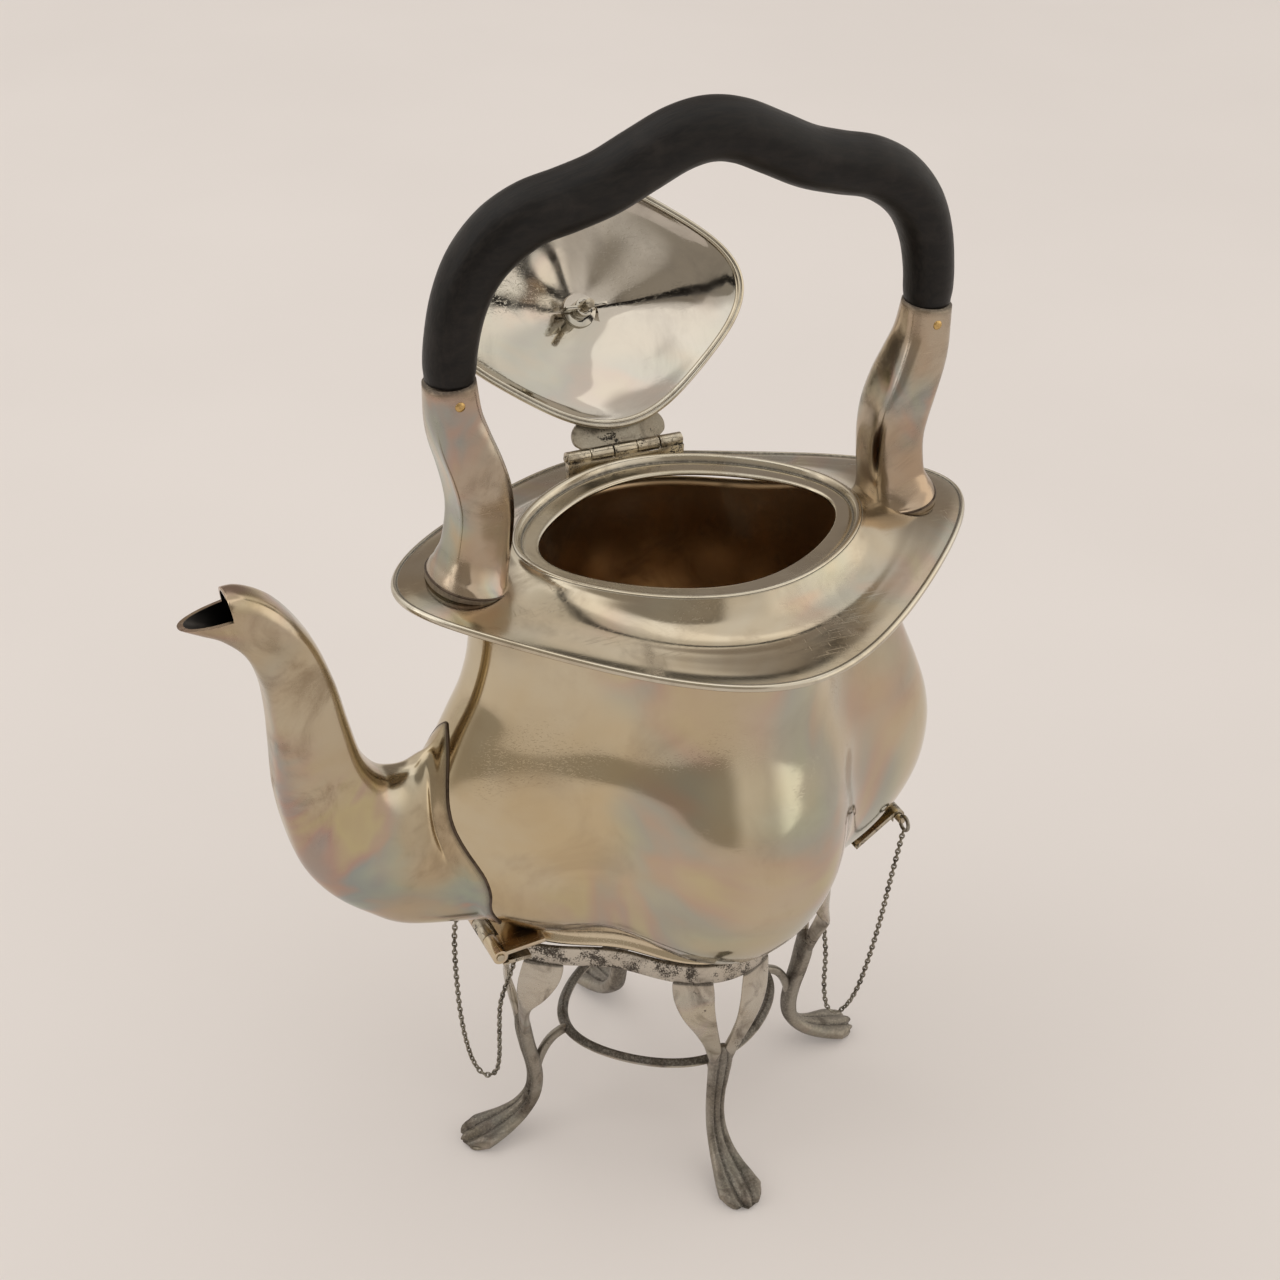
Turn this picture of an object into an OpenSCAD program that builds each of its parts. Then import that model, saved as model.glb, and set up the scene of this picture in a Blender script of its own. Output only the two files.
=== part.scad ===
// Silver spirit kettle with an overhead handle, a hinged lid and a four-legged stand.
// Origin: on the table, midway between the four feet. +Z up, -X towards the spout.

/* [Kettle body] */
// Half length of the body at its widest
body_half_x = 76; // [70:1:80]
// Half width of the body at its widest
body_half_y = 57; // [54:1:60]
// How far the four faces sink between the lobes, as a share of the radius
lobe_depth = 0.13; // [0.08:0.01:0.15]
// Thickness of the sheet silver
sheet = 1.2; // [1:0.1:1.5]

/* [Shoulder] */
// Half length of the overhanging shoulder
shoulder_half_x = 77.5; // [75:0.5:80]
// Half width of the overhanging shoulder
shoulder_half_y = 61; // [59:0.5:63]
// Height of the shoulder's edge at the front and the rear
shoulder_z = 186; // [184:1:187]
// How far the shoulder's edge droops at the two sides
shoulder_droop = 7; // [4:1:8]
// Height of the top of the neck rim
rim_z = 190.5; // [190:0.5:191]

/* [Lid] */
// Half length of the lid
lid_half_x = 44; // [43.5:0.1:44]
// Half width of the lid
lid_half_y = 34; // [33.6:0.1:34.1]
// Height of the lid's dome above its rim
dome_h = 13; // [11:0.5:15]
// Angle of the open lid from closed, in degrees
lid_open = 125; // [0:5:125]

/* [Handle] */
// Height of the joint between a silver socket and the grip
grip_z = 240; // [238:1:242]
// Radius of the grip at its ends
grip_end_r = 6; // [5.5:0.1:6.2]
// Radius of the grip at its middle
grip_mid_r = 7.4; // [6.5:0.1:7.6]

/* [Hinges] */
// Radius of the drop pins
pin_r = 1.1; // [0.9:0.1:1.2]
// Running clearance of the pins, on the radius
pin_gap = 0.05; // [0.03:0.01:0.08]
// Outer radius of the stand's hinge knuckles
knuckle_r = 2.1; // [2:0.05:2.2]
// Outer radius of the lid hinge's knuckles
lid_knuckle_r = 1.8; // [1.7:0.05:1.9]

/* [Stand] */
// Half length of the stand's band
band_half_x = 47.5; // [47:0.5:48]
// Half width of the stand's band
band_half_y = 36; // [35:0.5:37]
// Height of the stand's band above the table
band_z = 68; // [67.5:0.5:68.5]
// Height of the band itself
band_h = 6; // [5.5:0.25:6]

/* [Hidden] */

// Sides of a lofted shell and of a swept bar
loft_n = 56;
bar_n = 10;
chain_r = 0.9;

// Lid hinge axis, parallel to X
lid_hinge_y = 39.7;
lid_hinge_z = 192;
lid_hinge_half = 16.8;
lid_pin_r = 0.8;

// Front tilt hinge and rear catch, both parallel to Y
tilt_x = -56.4;
tilt_z = 75.8;
catch_x = 65;
catch_z = 87.4;
hinge_half = 11.7;
middle_half = 3.9;
knuckle_gap = 0.3;
leaf_t = 1.2;

neck_half_x = 46.5;
neck_half_y = 37.5;
band_top = band_z + band_h;
// Gap between the kettle's foot and the stand
seat_gap = 0.3;
foot_z = band_top + seat_gap;

// Radius of a plan outline at angle t, as a share of its half length: soft rounds the four
// corners of a diamond, sink draws its four sides in
function soft_diamond(t, soft, sink) =
    (sqrt(1 + soft * soft) + soft)
    / (sqrt(pow(cos(t), 2) + soft * soft) + sqrt(pow(sin(t), 2) + soft * soft))
    * (1 - sink * (1 - cos(4 * t)));

// One ring of points. A section is [half length, half width, soft, sink, z, droop at the sides]
function ring_points(s, n) = [for (i = [0:n - 1])
    let (t = 360 * i / n, r = soft_diamond(t, s[2], s[3]))
    [s[0] * r * cos(t), s[1] * r * sin(t), s[4] - s[5] * (1 - cos(2 * t)) / 2]];

// A solid skin through sections that close on themselves, such as a sheet or a rim. They run
// up the outside and down the inside. window leaves an opening in the skin: it is [first
// section, last section, first side, last side] on the outside
module loft_loop(sections, n = loft_n, window = []) {
    m = len(sections);
    points = [for (s = sections) each ring_points(s, n)];
    function at(i, j) = (i % m) * n + (j % n);
    function open_cell(i, j) = len(window) == 4
        && ((i >= window[0] && i < window[1])
            || (i >= m - 1 - window[1] && i < m - 1 - window[0]))
        && j >= window[2] && j < window[3];
    // Across the window's four edges the inner sheet joins the outer one
    rim = len(window) == 4 ? let (a = window[0], b = window[1], c = window[2], d = window[3],
        q = m - 1 - a, p = m - 1 - b) [
        for (j = [c:d - 1]) [at(a, j + 1), at(a, j), at(q, j), at(q, j + 1)],
        for (j = [c:d - 1]) [at(b, j), at(b, j + 1), at(p, j + 1), at(p, j)],
        for (i = [a:b - 1]) [at(i, c), at(i + 1, c), at(m - 2 - i, c), at(m - 1 - i, c)],
        for (i = [a:b - 1]) [at(i + 1, d), at(i, d), at(m - 1 - i, d), at(m - 2 - i, d)]] : [];
    faces = [for (i = [0:m - 1], j = [0:n - 1]) if (!open_cell(i, j))
        [at(i, j), at(i + 1, j), at(i + 1, j + 1), at(i, j + 1)]];
    triangles = [for (f = concat(faces, rim)) each [[f[0], f[1], f[2]], [f[0], f[2], f[3]]]];
    polyhedron(points, triangles, convexity = 8);
}

// A solid through sections, closed by a flat cap at each end
module loft_solid(sections, n = loft_n) {
    m = len(sections);
    points = [for (s = sections) each ring_points(s, n)];
    sides = [for (i = [0:m - 2], j = [0:n - 1])
        let (a = i * n + j, b = i * n + (j + 1) % n, c = a + n, d = b + n)
        each [[a, c, d], [a, d, b]]];
    polyhedron(points, concat(sides, [[for (j = [0:n - 1]) j]],
        [[for (j = [n - 1:-1:0]) (m - 1) * n + j]]), convexity = 4);
}

function unit(v) = v / norm(v);
function tangent(path, i) = unit(path[min(i + 1, len(path) - 1)] - path[max(i - 1, 0)]);

// A bar swept along a path. sizes gives each point's half width (across) and half thickness;
// side is the direction that the half width lies along. square runs from 2, round, to 6, boxy
module bar(path, sizes, side, n = bar_n, square = 2) {
    m = len(path);
    points = [for (i = [0:m - 1]) let (u = tangent(path, i), v = unit(cross(u, side)),
        w = cross(v, u))
        for (j = [0:n - 1]) let (t = 360 * (j + 0.5) / n, c = cos(t), s = sin(t),
            r = 1 / pow(pow(abs(c), square) + pow(abs(s), square), 1 / square))
            path[i] + w * sizes[i][0] * r * c + v * sizes[i][1] * r * s];
    sides = [for (i = [0:m - 2], j = [0:n - 1])
        let (a = i * n + j, b = i * n + (j + 1) % n, c = a + n, d = b + n)
        each [[a, d, b], [a, c, d]]];
    polyhedron(points, concat(sides, [[for (j = [0:n - 1]) j]],
        [[for (j = [n - 1:-1:0]) (m - 1) * n + j]]), convexity = 6);
}

// A hollow bar: the same sweep with a bore whose size is the outside less wall
module pipe(path, sizes, side, wall, n, square) {
    m = len(path);
    function layer(i, w) = let (u = tangent(path, i), v = unit(cross(u, side)), x = cross(v, u))
        [for (j = [0:n - 1]) let (t = 360 * (j + 0.5) / n, c = cos(t), s = sin(t),
            r = 1 / pow(pow(abs(c), square) + pow(abs(s), square), 1 / square))
            path[i] + x * (sizes[i][0] - w) * r * c + v * (sizes[i][1] - w) * r * s];
    points = concat([for (i = [0:m - 1]) each layer(i, 0)],
        [for (i = [m - 1:-1:0]) each layer(i, wall)]);
    faces = [for (i = [0:2 * m - 1], j = [0:n - 1])
        let (k = (i + 1) % (2 * m), a = i * n + j, b = i * n + (j + 1) % n,
            c = k * n + j, d = k * n + (j + 1) % n)
        each [[a, d, b], [a, c, d]]];
    polyhedron(points, faces, convexity = 8);
}

// Body profile: [share of half length, share of half width, sink share, z]
body_profile = [
    [0.55, 0.63, 0.6, 78], [0.67, 0.76, 0.9, 80.5], [0.8, 0.87, 1, 87], [0.91, 0.95, 1, 95],
    [0.98, 1, 1, 105], [1, 0.99, 1, 116], [0.98, 0.95, 1, 126], [0.93, 0.88, 0.9, 136],
    [0.87, 0.81, 0.9, 146], [0.81, 0.765, 0.85, 156], [0.78, 0.745, 0.8, 168],
    [0.785, 0.755, 0.7, 185.9]];
body_droop = 5;
function body_section(p, inset) = [body_half_x * p[0] - inset, body_half_y * p[1] - inset, 1.2,
    lobe_depth * p[2], p[3] + (p[3] < 79 ? inset : 0),
    p[3] > 180 ? body_droop : 0];

// Window in the wall behind the spout, by rows and columns of the loft
window_rows = [3, 6];
window_cols = [26, 30];
module kettle_body() {
    last = len(body_profile) - 1;
    color("tan") loft_loop(concat([for (p = body_profile) body_section(p, 0)],
        [for (i = [last:-1:0]) body_section(body_profile[i], sheet)]),
        window = [window_rows[0], window_rows[1], window_cols[0], window_cols[1]]);
}

module kettle_base() {
    color("tan") loft_solid([
        [body_half_x * 0.55 - sheet - 0.6, body_half_y * 0.63 - sheet - 0.6, 1.2, 0.05, 78, 0],
        [body_half_x * 0.55 - sheet - 0.6, body_half_y * 0.63 - sheet - 0.6, 1.2, 0.05, 79.2, 0]]);
}

module foot_band() {
    color("goldenrod") loft_loop([
        [46, 34.6, 0.5, 0, foot_z, 0], [46, 34.6, 0.5, 0, foot_z + 1, 0],
        [45, 34.6, 0.5, 0, foot_z + 2.5, 0], [46, 36.4, 0.6, 0, 79.4, 0],
        [43.6, 35, 0.6, 0, 79.4, 0], [42.6, 32.4, 0.5, 0, foot_z, 0]]);
}

shoulder_steps = [
    [1, 1, 0.28, 0, 0], [0.955, 0.945, 0.3, 0.5, 0.03], [0.89, 0.88, 0.34, 0.8, 0.07],
    [0.82, 0.81, 0.4, 1.1, 0.11], [0.74, 0.74, 0.5, 1.5, 0.16], [0.67, 0.675, 0.56, 2.2, 0.44],
    [0.62, 0.635, 0.6, 3.2, 0.83], [0.6, 0.615, 0.6, 4.2, 1]];
function shoulder_section(s, down) = [shoulder_half_x * s[0], shoulder_half_y * s[1], s[2], 0,
    shoulder_z + s[3] - down, shoulder_droop * (1 - s[4])];
module shoulder() {
    last = len(shoulder_steps) - 1;
    color("tan") loft_loop(concat(
        [for (i = [last:-1:0]) shoulder_section(shoulder_steps[i], sheet)],
        [for (s = shoulder_steps) shoulder_section(s, 0)]), n = 64);
}

module shoulder_edge() {
    edge_r = 1;
    color("silver") loft_loop([for (i = [0:5]) let (a = 60 * i)
        [shoulder_half_x + edge_r * cos(a), shoulder_half_y + edge_r * cos(a), 0.28, 0,
            shoulder_z - sheet / 2 + edge_r * sin(a), shoulder_droop]], n = 64);
}

module neck_rim() {
    color("silver") loft_loop([
        [neck_half_x, neck_half_y, 0.6, 0, rim_z - 4, 0],
        [neck_half_x, neck_half_y, 0.6, 0, rim_z - 1, 0],
        [neck_half_x - 0.7, neck_half_y - 0.7, 0.6, 0, rim_z, 0],
        [neck_half_x - 1.5, neck_half_y - 1.7, 0.6, 0, rim_z, 0],
        [neck_half_x - 1.8, neck_half_y - 2.7, 0.6, 0, rim_z - 1.8, 0],
        [40.2, 29.6, 0.5, 0, rim_z - 1.8, 0],
        [40.2, 29.6, 0.5, 0, rim_z - 2.8, 0],
        [neck_half_x - 2, neck_half_y - 2.6, 0.6, 0, rim_z - 2.8, 0],
        [neck_half_x - 2, neck_half_y - 2, 0.6, 0, rim_z - 4, 0]], n = 64);
}

// Spout: [x, z, half width, half depth]
spout_path = [
    [-62, 108, 13, 25], [-70, 104, 12.4, 23], [-78, 104, 11.6, 20.5], [-86, 108.5, 10.8, 17],
    [-92.5, 116, 10, 14.2], [-97, 126, 9.4, 12], [-99.6, 138, 8.9, 10.5], [-101.2, 150, 8.4, 9.6],
    [-102.8, 162, 7.9, 8.6], [-105, 173, 7.3, 7.6], [-109.2, 182, 6.6, 6.4],
    [-115.5, 188, 5.8, 5], [-123, 190.4, 5, 3.8], [-131, 191, 3.4, 2.6]];
module spout() {
    color("tan") difference() {
        pipe([for (p = spout_path) [p[0], 0, p[1]]], [for (p = spout_path) [p[2], p[3]]],
            [0, 1, 0], 1, 20, 2.5);
        // The beak is cut open along its top
        translate([-138, -10, 191.4]) cube([19.4, 20, 12]);
    }
}

strainer_hole_r = 1.1;
strainer_pitch = 4;
module spout_strainer() {
    plate_half_y = 7;
    plate_z = [99, 121];
    color("silver") translate([-71.2, 0, 0]) rotate([0, 90, 0]) translate([0, 0, -sheet / 2])
        difference() {
            translate([-plate_z[1], -plate_half_y, 0])
                cube([plate_z[1] - plate_z[0], 2 * plate_half_y, sheet]);
            for (i = [-2:2], j = [-1:1])
                translate([-110 + i * strainer_pitch, j * strainer_pitch, -1])
                    cylinder(r = strainer_hole_r, h = sheet + 2, $fn = 24);
        }
}

// Handle socket: [x, z, half width, half depth], for the rear; the front one is its mirror
socket_path = [
    [59.6, 186.8, 12, 9.6], [59, 189.5, 9.4, 8.4], [57.6, 195, 7.6, 7.3], [56.4, 203, 7.2, 7],
    [56.8, 210, 7.6, 7], [58.6, 217, 7.9, 6.8], [61.2, 224, 7.2, 6.6], [63.2, 231, 6.4, 6.4],
    [63.9, grip_z, 6.2, 6.2]];
module handle_socket() {
    color("tan") bar([for (p = socket_path) [p[0], 0, p[1]]],
        [for (p = socket_path) [p[2], p[3]]], [0, 1, 0], n = 8, square = 3.2);
}
module rear_handle_socket() { handle_socket(); }
module front_handle_socket() { mirror([1, 0, 0]) handle_socket(); }

// Grip centre line over its rear half: [x, z]
grip_half_path = [[0, 291.8], [8, 290.4], [17, 286.4], [26, 282.2], [35, 279.6], [44, 277.4],
    [51.5, 273.2], [57.5, 266.8], [61.3, 258.5], [63.3, 249], [63.9, grip_z]];
module handle_grip() {
    last = len(grip_half_path) - 1;
    full = concat([for (i = [last:-1:1]) [-grip_half_path[i][0], grip_half_path[i][1]]],
        grip_half_path);
    color("black") bar([for (p = full) [p[0], 0, p[1]]],
        [for (p = full) let (k = min(1, pow((p[1] - grip_z) / 34, 2)),
            r = grip_end_r + (grip_mid_r - grip_end_r) * k) [r, r]], [0, 1, 0], n = 14);
}

rivet_r = 1.1;
rivet_len = 12.6;
rivet_z = grip_z - 4;
module grip_rivet(x) {
    color("gold") translate([x, -rivet_len / 2, rivet_z]) rotate([-90, 0, 0])
        cylinder(r = rivet_r, h = rivet_len, $fn = 24);
}
module front_grip_rivet() { grip_rivet(-63.6); }
module rear_grip_rivet() { grip_rivet(63.6); }

// Lid hinge: five knuckles along X, the second and fourth on the lid
lid_knuckle_len = 2 * lid_hinge_half / 5;
module lid_knuckles(which) {
    for (i = which)
        translate([-lid_hinge_half + i * lid_knuckle_len + knuckle_gap / 2, lid_hinge_y, lid_hinge_z])
            rotate([0, 90, 0]) difference() {
                cylinder(r = lid_knuckle_r, h = lid_knuckle_len - knuckle_gap, $fn = 32);
                translate([0, 0, -1])
                    cylinder(r = lid_pin_r + pin_gap, h = lid_knuckle_len + 2, $fn = 32);
            }
}
module body_hinge_leaf() {
    color("silver") union() {
        lid_knuckles([0, 2, 4]);
        difference() {
            // A plate under the knuckles runs down to the shoulder
            translate([-lid_hinge_half, lid_hinge_y - 2.1, lid_hinge_z - 6])
                cube([2 * lid_hinge_half, 2.2, 5.2]);
            translate([-lid_hinge_half - 1, lid_hinge_y, lid_hinge_z]) rotate([0, 90, 0])
                cylinder(r = lid_pin_r + pin_gap, h = 2 * lid_hinge_half + 2, $fn = 32);
            for (i = [1, 3])
                translate([-lid_hinge_half + i * lid_knuckle_len - knuckle_gap / 2,
                    lid_hinge_y, lid_hinge_z]) rotate([0, 90, 0])
                    cylinder(r = lid_knuckle_r + 0.5, h = lid_knuckle_len + knuckle_gap, $fn = 32);
        }
    }
}
module lid_hinge_pin() {
    color("gray") translate([-lid_hinge_half - 0.4, lid_hinge_y, lid_hinge_z]) rotate([0, 90, 0])
        cylinder(r = lid_pin_r, h = 2 * lid_hinge_half + 0.8, $fn = 32);
}

// Turns the lid's parts from closed to where they stand open
module opened() {
    translate([0, lid_hinge_y, lid_hinge_z]) rotate([-lid_open, 0, 0])
        translate([0, -lid_hinge_y, -lid_hinge_z]) children();
}

lid_seat = rim_z - 1.5;
// Lid dome: [share of half size, share of the dome's height]
lid_steps = [[1, 0.05], [0.93, 0.13], [0.84, 0.3], [0.72, 0.47], [0.58, 0.62], [0.42, 0.78],
    [0.25, 0.92], [0.12, 0.99], [0.05, 1]];
function lid_section(s, down) = [lid_half_x * s[0], lid_half_y * s[0], 0.45, 0.02,
    lid_seat + 1 + dome_h * s[1] - down, 0];
module lid_shell() {
    last = len(lid_steps) - 1;
    color("silver") opened() loft_loop(concat(
        [for (i = [last:-1:0]) lid_section(lid_steps[i], sheet)],
        [for (s = lid_steps) lid_section(s, 0)]), n = 48);
}
module lid_bezel() {
    bezel_r = 1;
    color("silver") opened() loft_loop([for (i = [0:5]) let (a = 60 * i)
        [lid_half_x - 0.6 + bezel_r * cos(a), lid_half_y - 0.6 + bezel_r * cos(a), 0.45, 0.02,
            lid_seat + 1 + bezel_r * sin(a), 0]], n = 48);
}
module lid_hinge_leaf() {
    leaf_root = 28;
    color("silver") opened() union() {
        lid_knuckles([1, 3]);
        difference() {
            union() {
                translate([-13, lid_half_y - 2, lid_hinge_z + 0.6])
                    cube([26, lid_hinge_y - lid_half_y + 2, leaf_t]);
                translate([-13, leaf_root, lid_hinge_z + 0.6]) cube([26, 5, leaf_t]);
            }
            translate([-lid_hinge_half - 1, lid_hinge_y, lid_hinge_z]) rotate([0, 90, 0])
                cylinder(r = lid_pin_r + pin_gap, h = 2 * lid_hinge_half + 2, $fn = 32);
            for (i = [0, 2, 4])
                translate([-lid_hinge_half + i * lid_knuckle_len - knuckle_gap / 2,
                    lid_hinge_y, lid_hinge_z]) rotate([0, 90, 0])
                    cylinder(r = lid_knuckle_r + 0.35, h = lid_knuckle_len + knuckle_gap, $fn = 32);
        }
    }
}

lid_top = lid_seat + 1 + dome_h;
bolt_r = 1.3;
module finial_knob() {
    color("silver") opened() translate([0, 0, lid_top + 0.05]) difference() {
        rotate_extrude($fn = 48) polygon([[0, 0], [5.5, 0], [5.2, 1], [3, 2], [2.6, 3.6], [4, 5.4],
            [5.8, 7.4], [6.2, 9.4], [5.4, 11.4], [3.4, 13], [1.4, 13.8], [0, 14.2]]);
        translate([0, 0, -1]) cylinder(r = bolt_r, h = 7, $fn = 32);
    }
}
module finial_washer() {
    color("silver") opened() translate([0, 0, lid_top - sheet - 1]) difference() {
        cylinder(r = 4.6, h = 0.95, $fn = 48);
        translate([0, 0, -1]) cylinder(r = bolt_r + 0.05, h = 3, $fn = 32);
    }
}
module finial_bolt() {
    color("gray") opened() translate([0, 0, lid_top - 10.5])
        cylinder(r = bolt_r, h = 16.5, $fn = 32);
}
module finial_wing_nut() {
    color("silver") opened() translate([0, 0, lid_top - sheet - 5.1]) difference() {
        union() {
            cylinder(r = 2.5, h = 4, $fn = 32);
            translate([-6, -0.5, -1.4]) cube([12, 1, 4]);
        }
        translate([0, 0, -3]) cylinder(r = bolt_r + 0.05, h = 9, $fn = 32);
    }
}

// One hinge knuckle along Y between y0 and y1
module knuckle(x, z, y0, y1) {
    translate([x, y0, z]) rotate([-90, 0, 0]) cylinder(r = knuckle_r, h = y1 - y0, $fn = 32);
}
module pin_bore(x, z, r) {
    translate([x, -hinge_half - 1, z]) rotate([-90, 0, 0])
        cylinder(r = r, h = 2 * hinge_half + 2, $fn = 32);
}
// Room round a barrel for the other leaf's knuckles between y0 and y1
barrel_room = knuckle_r + knuckle_gap;
module knuckle_room(x, z, y0, y1) {
    translate([x - barrel_room, y0, z - barrel_room])
        cube([2 * barrel_room, y1 - y0, 2 * barrel_room]);
}
outer_from = middle_half + knuckle_gap;

// The leaf's plate runs from the barrel to the kettle's foot, rising a little
front_leaf_run = 13;
front_leaf_rise = 5;
module kettle_front_leaf() {
    color("gold") difference() {
        union() {
            knuckle(tilt_x, tilt_z, -hinge_half, -outer_from);
            knuckle(tilt_x, tilt_z, outer_from, hinge_half);
            difference() {
                translate([tilt_x, -hinge_half + 0.1, tilt_z]) rotate([0, -front_leaf_rise, 0])
                    translate([0, 0, 0.1])
                        cube([front_leaf_run, 2 * hinge_half - 0.2, leaf_t]);
                knuckle_room(tilt_x, tilt_z, -outer_from - 0.1, outer_from + 0.1);
            }
        }
        pin_bore(tilt_x, tilt_z, pin_r + pin_gap);
    }
}
module stand_front_leaf() {
    plate_x = tilt_x + 0.8;
    color("silver") difference() {
        union() {
            knuckle(tilt_x, tilt_z, -middle_half, middle_half);
            difference() {
                translate([plate_x, -hinge_half + 0.1, band_top - leaf_t])
                    cube([-band_half_x - plate_x, 2 * hinge_half - 0.2, leaf_t]);
                for (y = [-hinge_half - 1, middle_half - 0.1])
                    knuckle_room(tilt_x, tilt_z, y, y + hinge_half + 1.1 - middle_half);
            }
        }
        pin_bore(tilt_x, tilt_z, pin_r + pin_gap);
    }
}

// Rear catch: the kettle's two knuckles are open below, so they lift off the stand's pin
rear_leaf_rise = 36;
rear_leaf_run = 15;
hook_r = pin_r + 0.3;
module kettle_rear_leaf() {
    color("silver") difference() {
        union() {
            knuckle(catch_x, catch_z, -hinge_half, -outer_from);
            knuckle(catch_x, catch_z, outer_from, hinge_half);
            difference() {
                translate([catch_x, -hinge_half + 0.1, catch_z]) rotate([0, -rear_leaf_rise, 0])
                    translate([-rear_leaf_run, 0, 0.9])
                        cube([rear_leaf_run, 2 * hinge_half - 0.2, leaf_t]);
                knuckle_room(catch_x, catch_z, -outer_from - 0.1, outer_from + 0.1);
            }
        }
        // Slot below the bore
        translate([catch_x - hook_r + 0.05, -hinge_half - 1, catch_z - 6])
            cube([2 * hook_r - 0.1, 2 * hinge_half + 2, 6]);
        pin_bore(catch_x, catch_z, hook_r);
    }
}
module stand_rear_leaf() {
    color("silver") difference() {
        union() {
            knuckle(catch_x, catch_z, -middle_half, middle_half);
            // The bracket climbs from the band to the knuckle
            bar([[46.2, 0, 69.5], [50, 0, 72.5], [57, 0, 79.6], [63.6, 0, 86]],
                [[middle_half, 0.8], [middle_half, 0.8], [middle_half, 0.8], [middle_half, 0.6]],
                [0, 1, 0], n = 4);
        }
        pin_bore(catch_x, catch_z, pin_r + pin_gap);
    }
}

module stand_band() {
    wall = 2;
    color("dimgray") translate([0, 0, band_z]) linear_extrude(band_h) difference() {
        band_outline(0);
        band_outline(wall);
    }
}
// Plan of the band: a soft diamond with its two ends cut square for the hinges
module band_outline(inset) {
    points = ring_points([band_half_x + 3 - inset, band_half_y - inset, 0.42, 0, 0, 0], 72);
    cut = band_half_x - inset;
    polygon([for (p = points) [max(-cut, min(cut, p[0])), p[1]]]);
}

// Leg centre line: [distance from the axis, z, half width, half thickness]
leg_long = [[45.8, 40, 2.9, 2.2], [44.6, 33, 2.5, 2.2], [42.4, 25, 2.3, 2.1], [41.3, 18, 2.3, 2.1],
    [42.6, 11.4, 2.6, 2], [46.8, 6.6, 3.6, 1.9], [52, 4.4, 4.9, 1.9], [57, 3.3, 5.8, 1.9],
    [61, 2.2, 4.4, 1.5]];
leg_short = [[34.4, 40, 2.9, 2.2], [33.6, 33, 2.5, 2.2], [32.6, 25, 2.3, 2.1],
    [32.4, 18, 2.3, 2.1], [34, 11.4, 2.6, 2], [38.4, 6.6, 3.6, 1.9], [43.8, 4.4, 4.9, 1.9],
    [49, 3.3, 5.8, 1.9], [53, 2.2, 4.4, 1.5]];
// Each of the two branches above a leg: [across, distance from the stem's line, z, half width]
branch = [[0.8, 0, 37, 1.7], [2.2, 0.8, 43, 2], [4.8, 1.8, 50, 2.9], [7.4, 2, 57, 4.6],
    [9, 1.2, 63, 5.6], [9.6, 0.5, 68.4, 5.4]];
module leg(line, lean) {
    color("dimgray") union() {
        bar([for (p = line) [p[0], 0, p[1]]], [for (p = line) [p[2], p[3]]], [0, 1, 0], n = 8);
        for (s = [-1, 1])
            bar([for (b = branch) [line[0][0] - 0.6 + b[1] + lean * (b[2] - 37) / 31,
                s * b[0], b[2]]], [for (b = branch) [b[3], 1.1]], [0, 1, 0], n = 8);
        // A flat pad under the toes stands on the table
        translate([line[7][0] - 3, -3.6, 0]) cube([6.5, 7.2, 2.2]);
    }
}
module rear_leg() { leg(leg_long, 0.6); }
module front_leg() { rotate([0, 0, 180]) leg(leg_long, 0.6); }
module near_leg() { rotate([0, 0, -90]) leg(leg_short, 0); }
module far_leg() { rotate([0, 0, 90]) leg(leg_short, 0); }

stretcher_z = 33;
stretcher_long = 31;
stretcher_short = 26;
module stretcher_ring() {
    color("dimgray") union() {
        loft_loop([for (i = [0:3]) let (a = 45 + 90 * i)
            [stretcher_long + 1.5 * cos(a), stretcher_short + 1.5 * cos(a), 0.9, 0,
                stretcher_z + 1.5 * sin(a), 0]], n = 48);
        for (s = [-1, 1]) {
            bar([[s * 31.2, 0, stretcher_z], [s * 35, 0, 31.5], [s * 38.2, 0, 27.5], [s * 40.6, 0, 22]],
                [[1.2, 1.2], [1.3, 1.3], [1.3, 1.3], [1.2, 1.2]], [0, 1, 0], n = 6);
            bar([[0, s * 26.2, stretcher_z], [0, s * 28.4, 31.5], [0, s * 30.2, 27.5],
                [0, s * 31.4, 22]],
                [[1.2, 1.2], [1.3, 1.3], [1.3, 1.3], [1.2, 1.2]], [1, 0, 0], n = 6);
        }
    }
}

// Small wire staples under the band hold the stand's end of each chain
module chain_staple(x) {
    color("dimgray") translate([x, 0, band_z - 1.2]) rotate([0, 90, 90])
        rotate_extrude($fn = 32) translate([1.6, 0]) circle(r = 0.5, $fn = 16);
}
module front_chain_staple() { chain_staple(-46.5); }
module rear_chain_staple() { chain_staple(46.5); }

// A drop pin lies along Y with a ring on the end that out points to
pin_len = 2 * hinge_half + 2.4;
ring_in = 1.5;
module drop_pin(x, z, out) {
    color("silver") translate([x, 0, z]) rotate([-90 * out, 0, 0]) translate([0, 0, -hinge_half - 0.4])
        cylinder(r = pin_r, h = pin_len + 0.4, $fn = 32);
}
module pin_ring(x, z, out) {
    color("silver") translate([x, out * (hinge_half + 2 + ring_in), z]) rotate([0, 90, 0])
        rotate_extrude($fn = 32) translate([ring_in + 0.55, 0]) circle(r = 0.55, $fn = 16);
}
module front_pin() { drop_pin(tilt_x, tilt_z, 1); }
module front_pin_ring() { pin_ring(tilt_x, tilt_z, 1); }
module rear_pin() { drop_pin(catch_x, catch_z, -1); }
module rear_pin_ring() { pin_ring(catch_x, catch_z, -1); }

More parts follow.
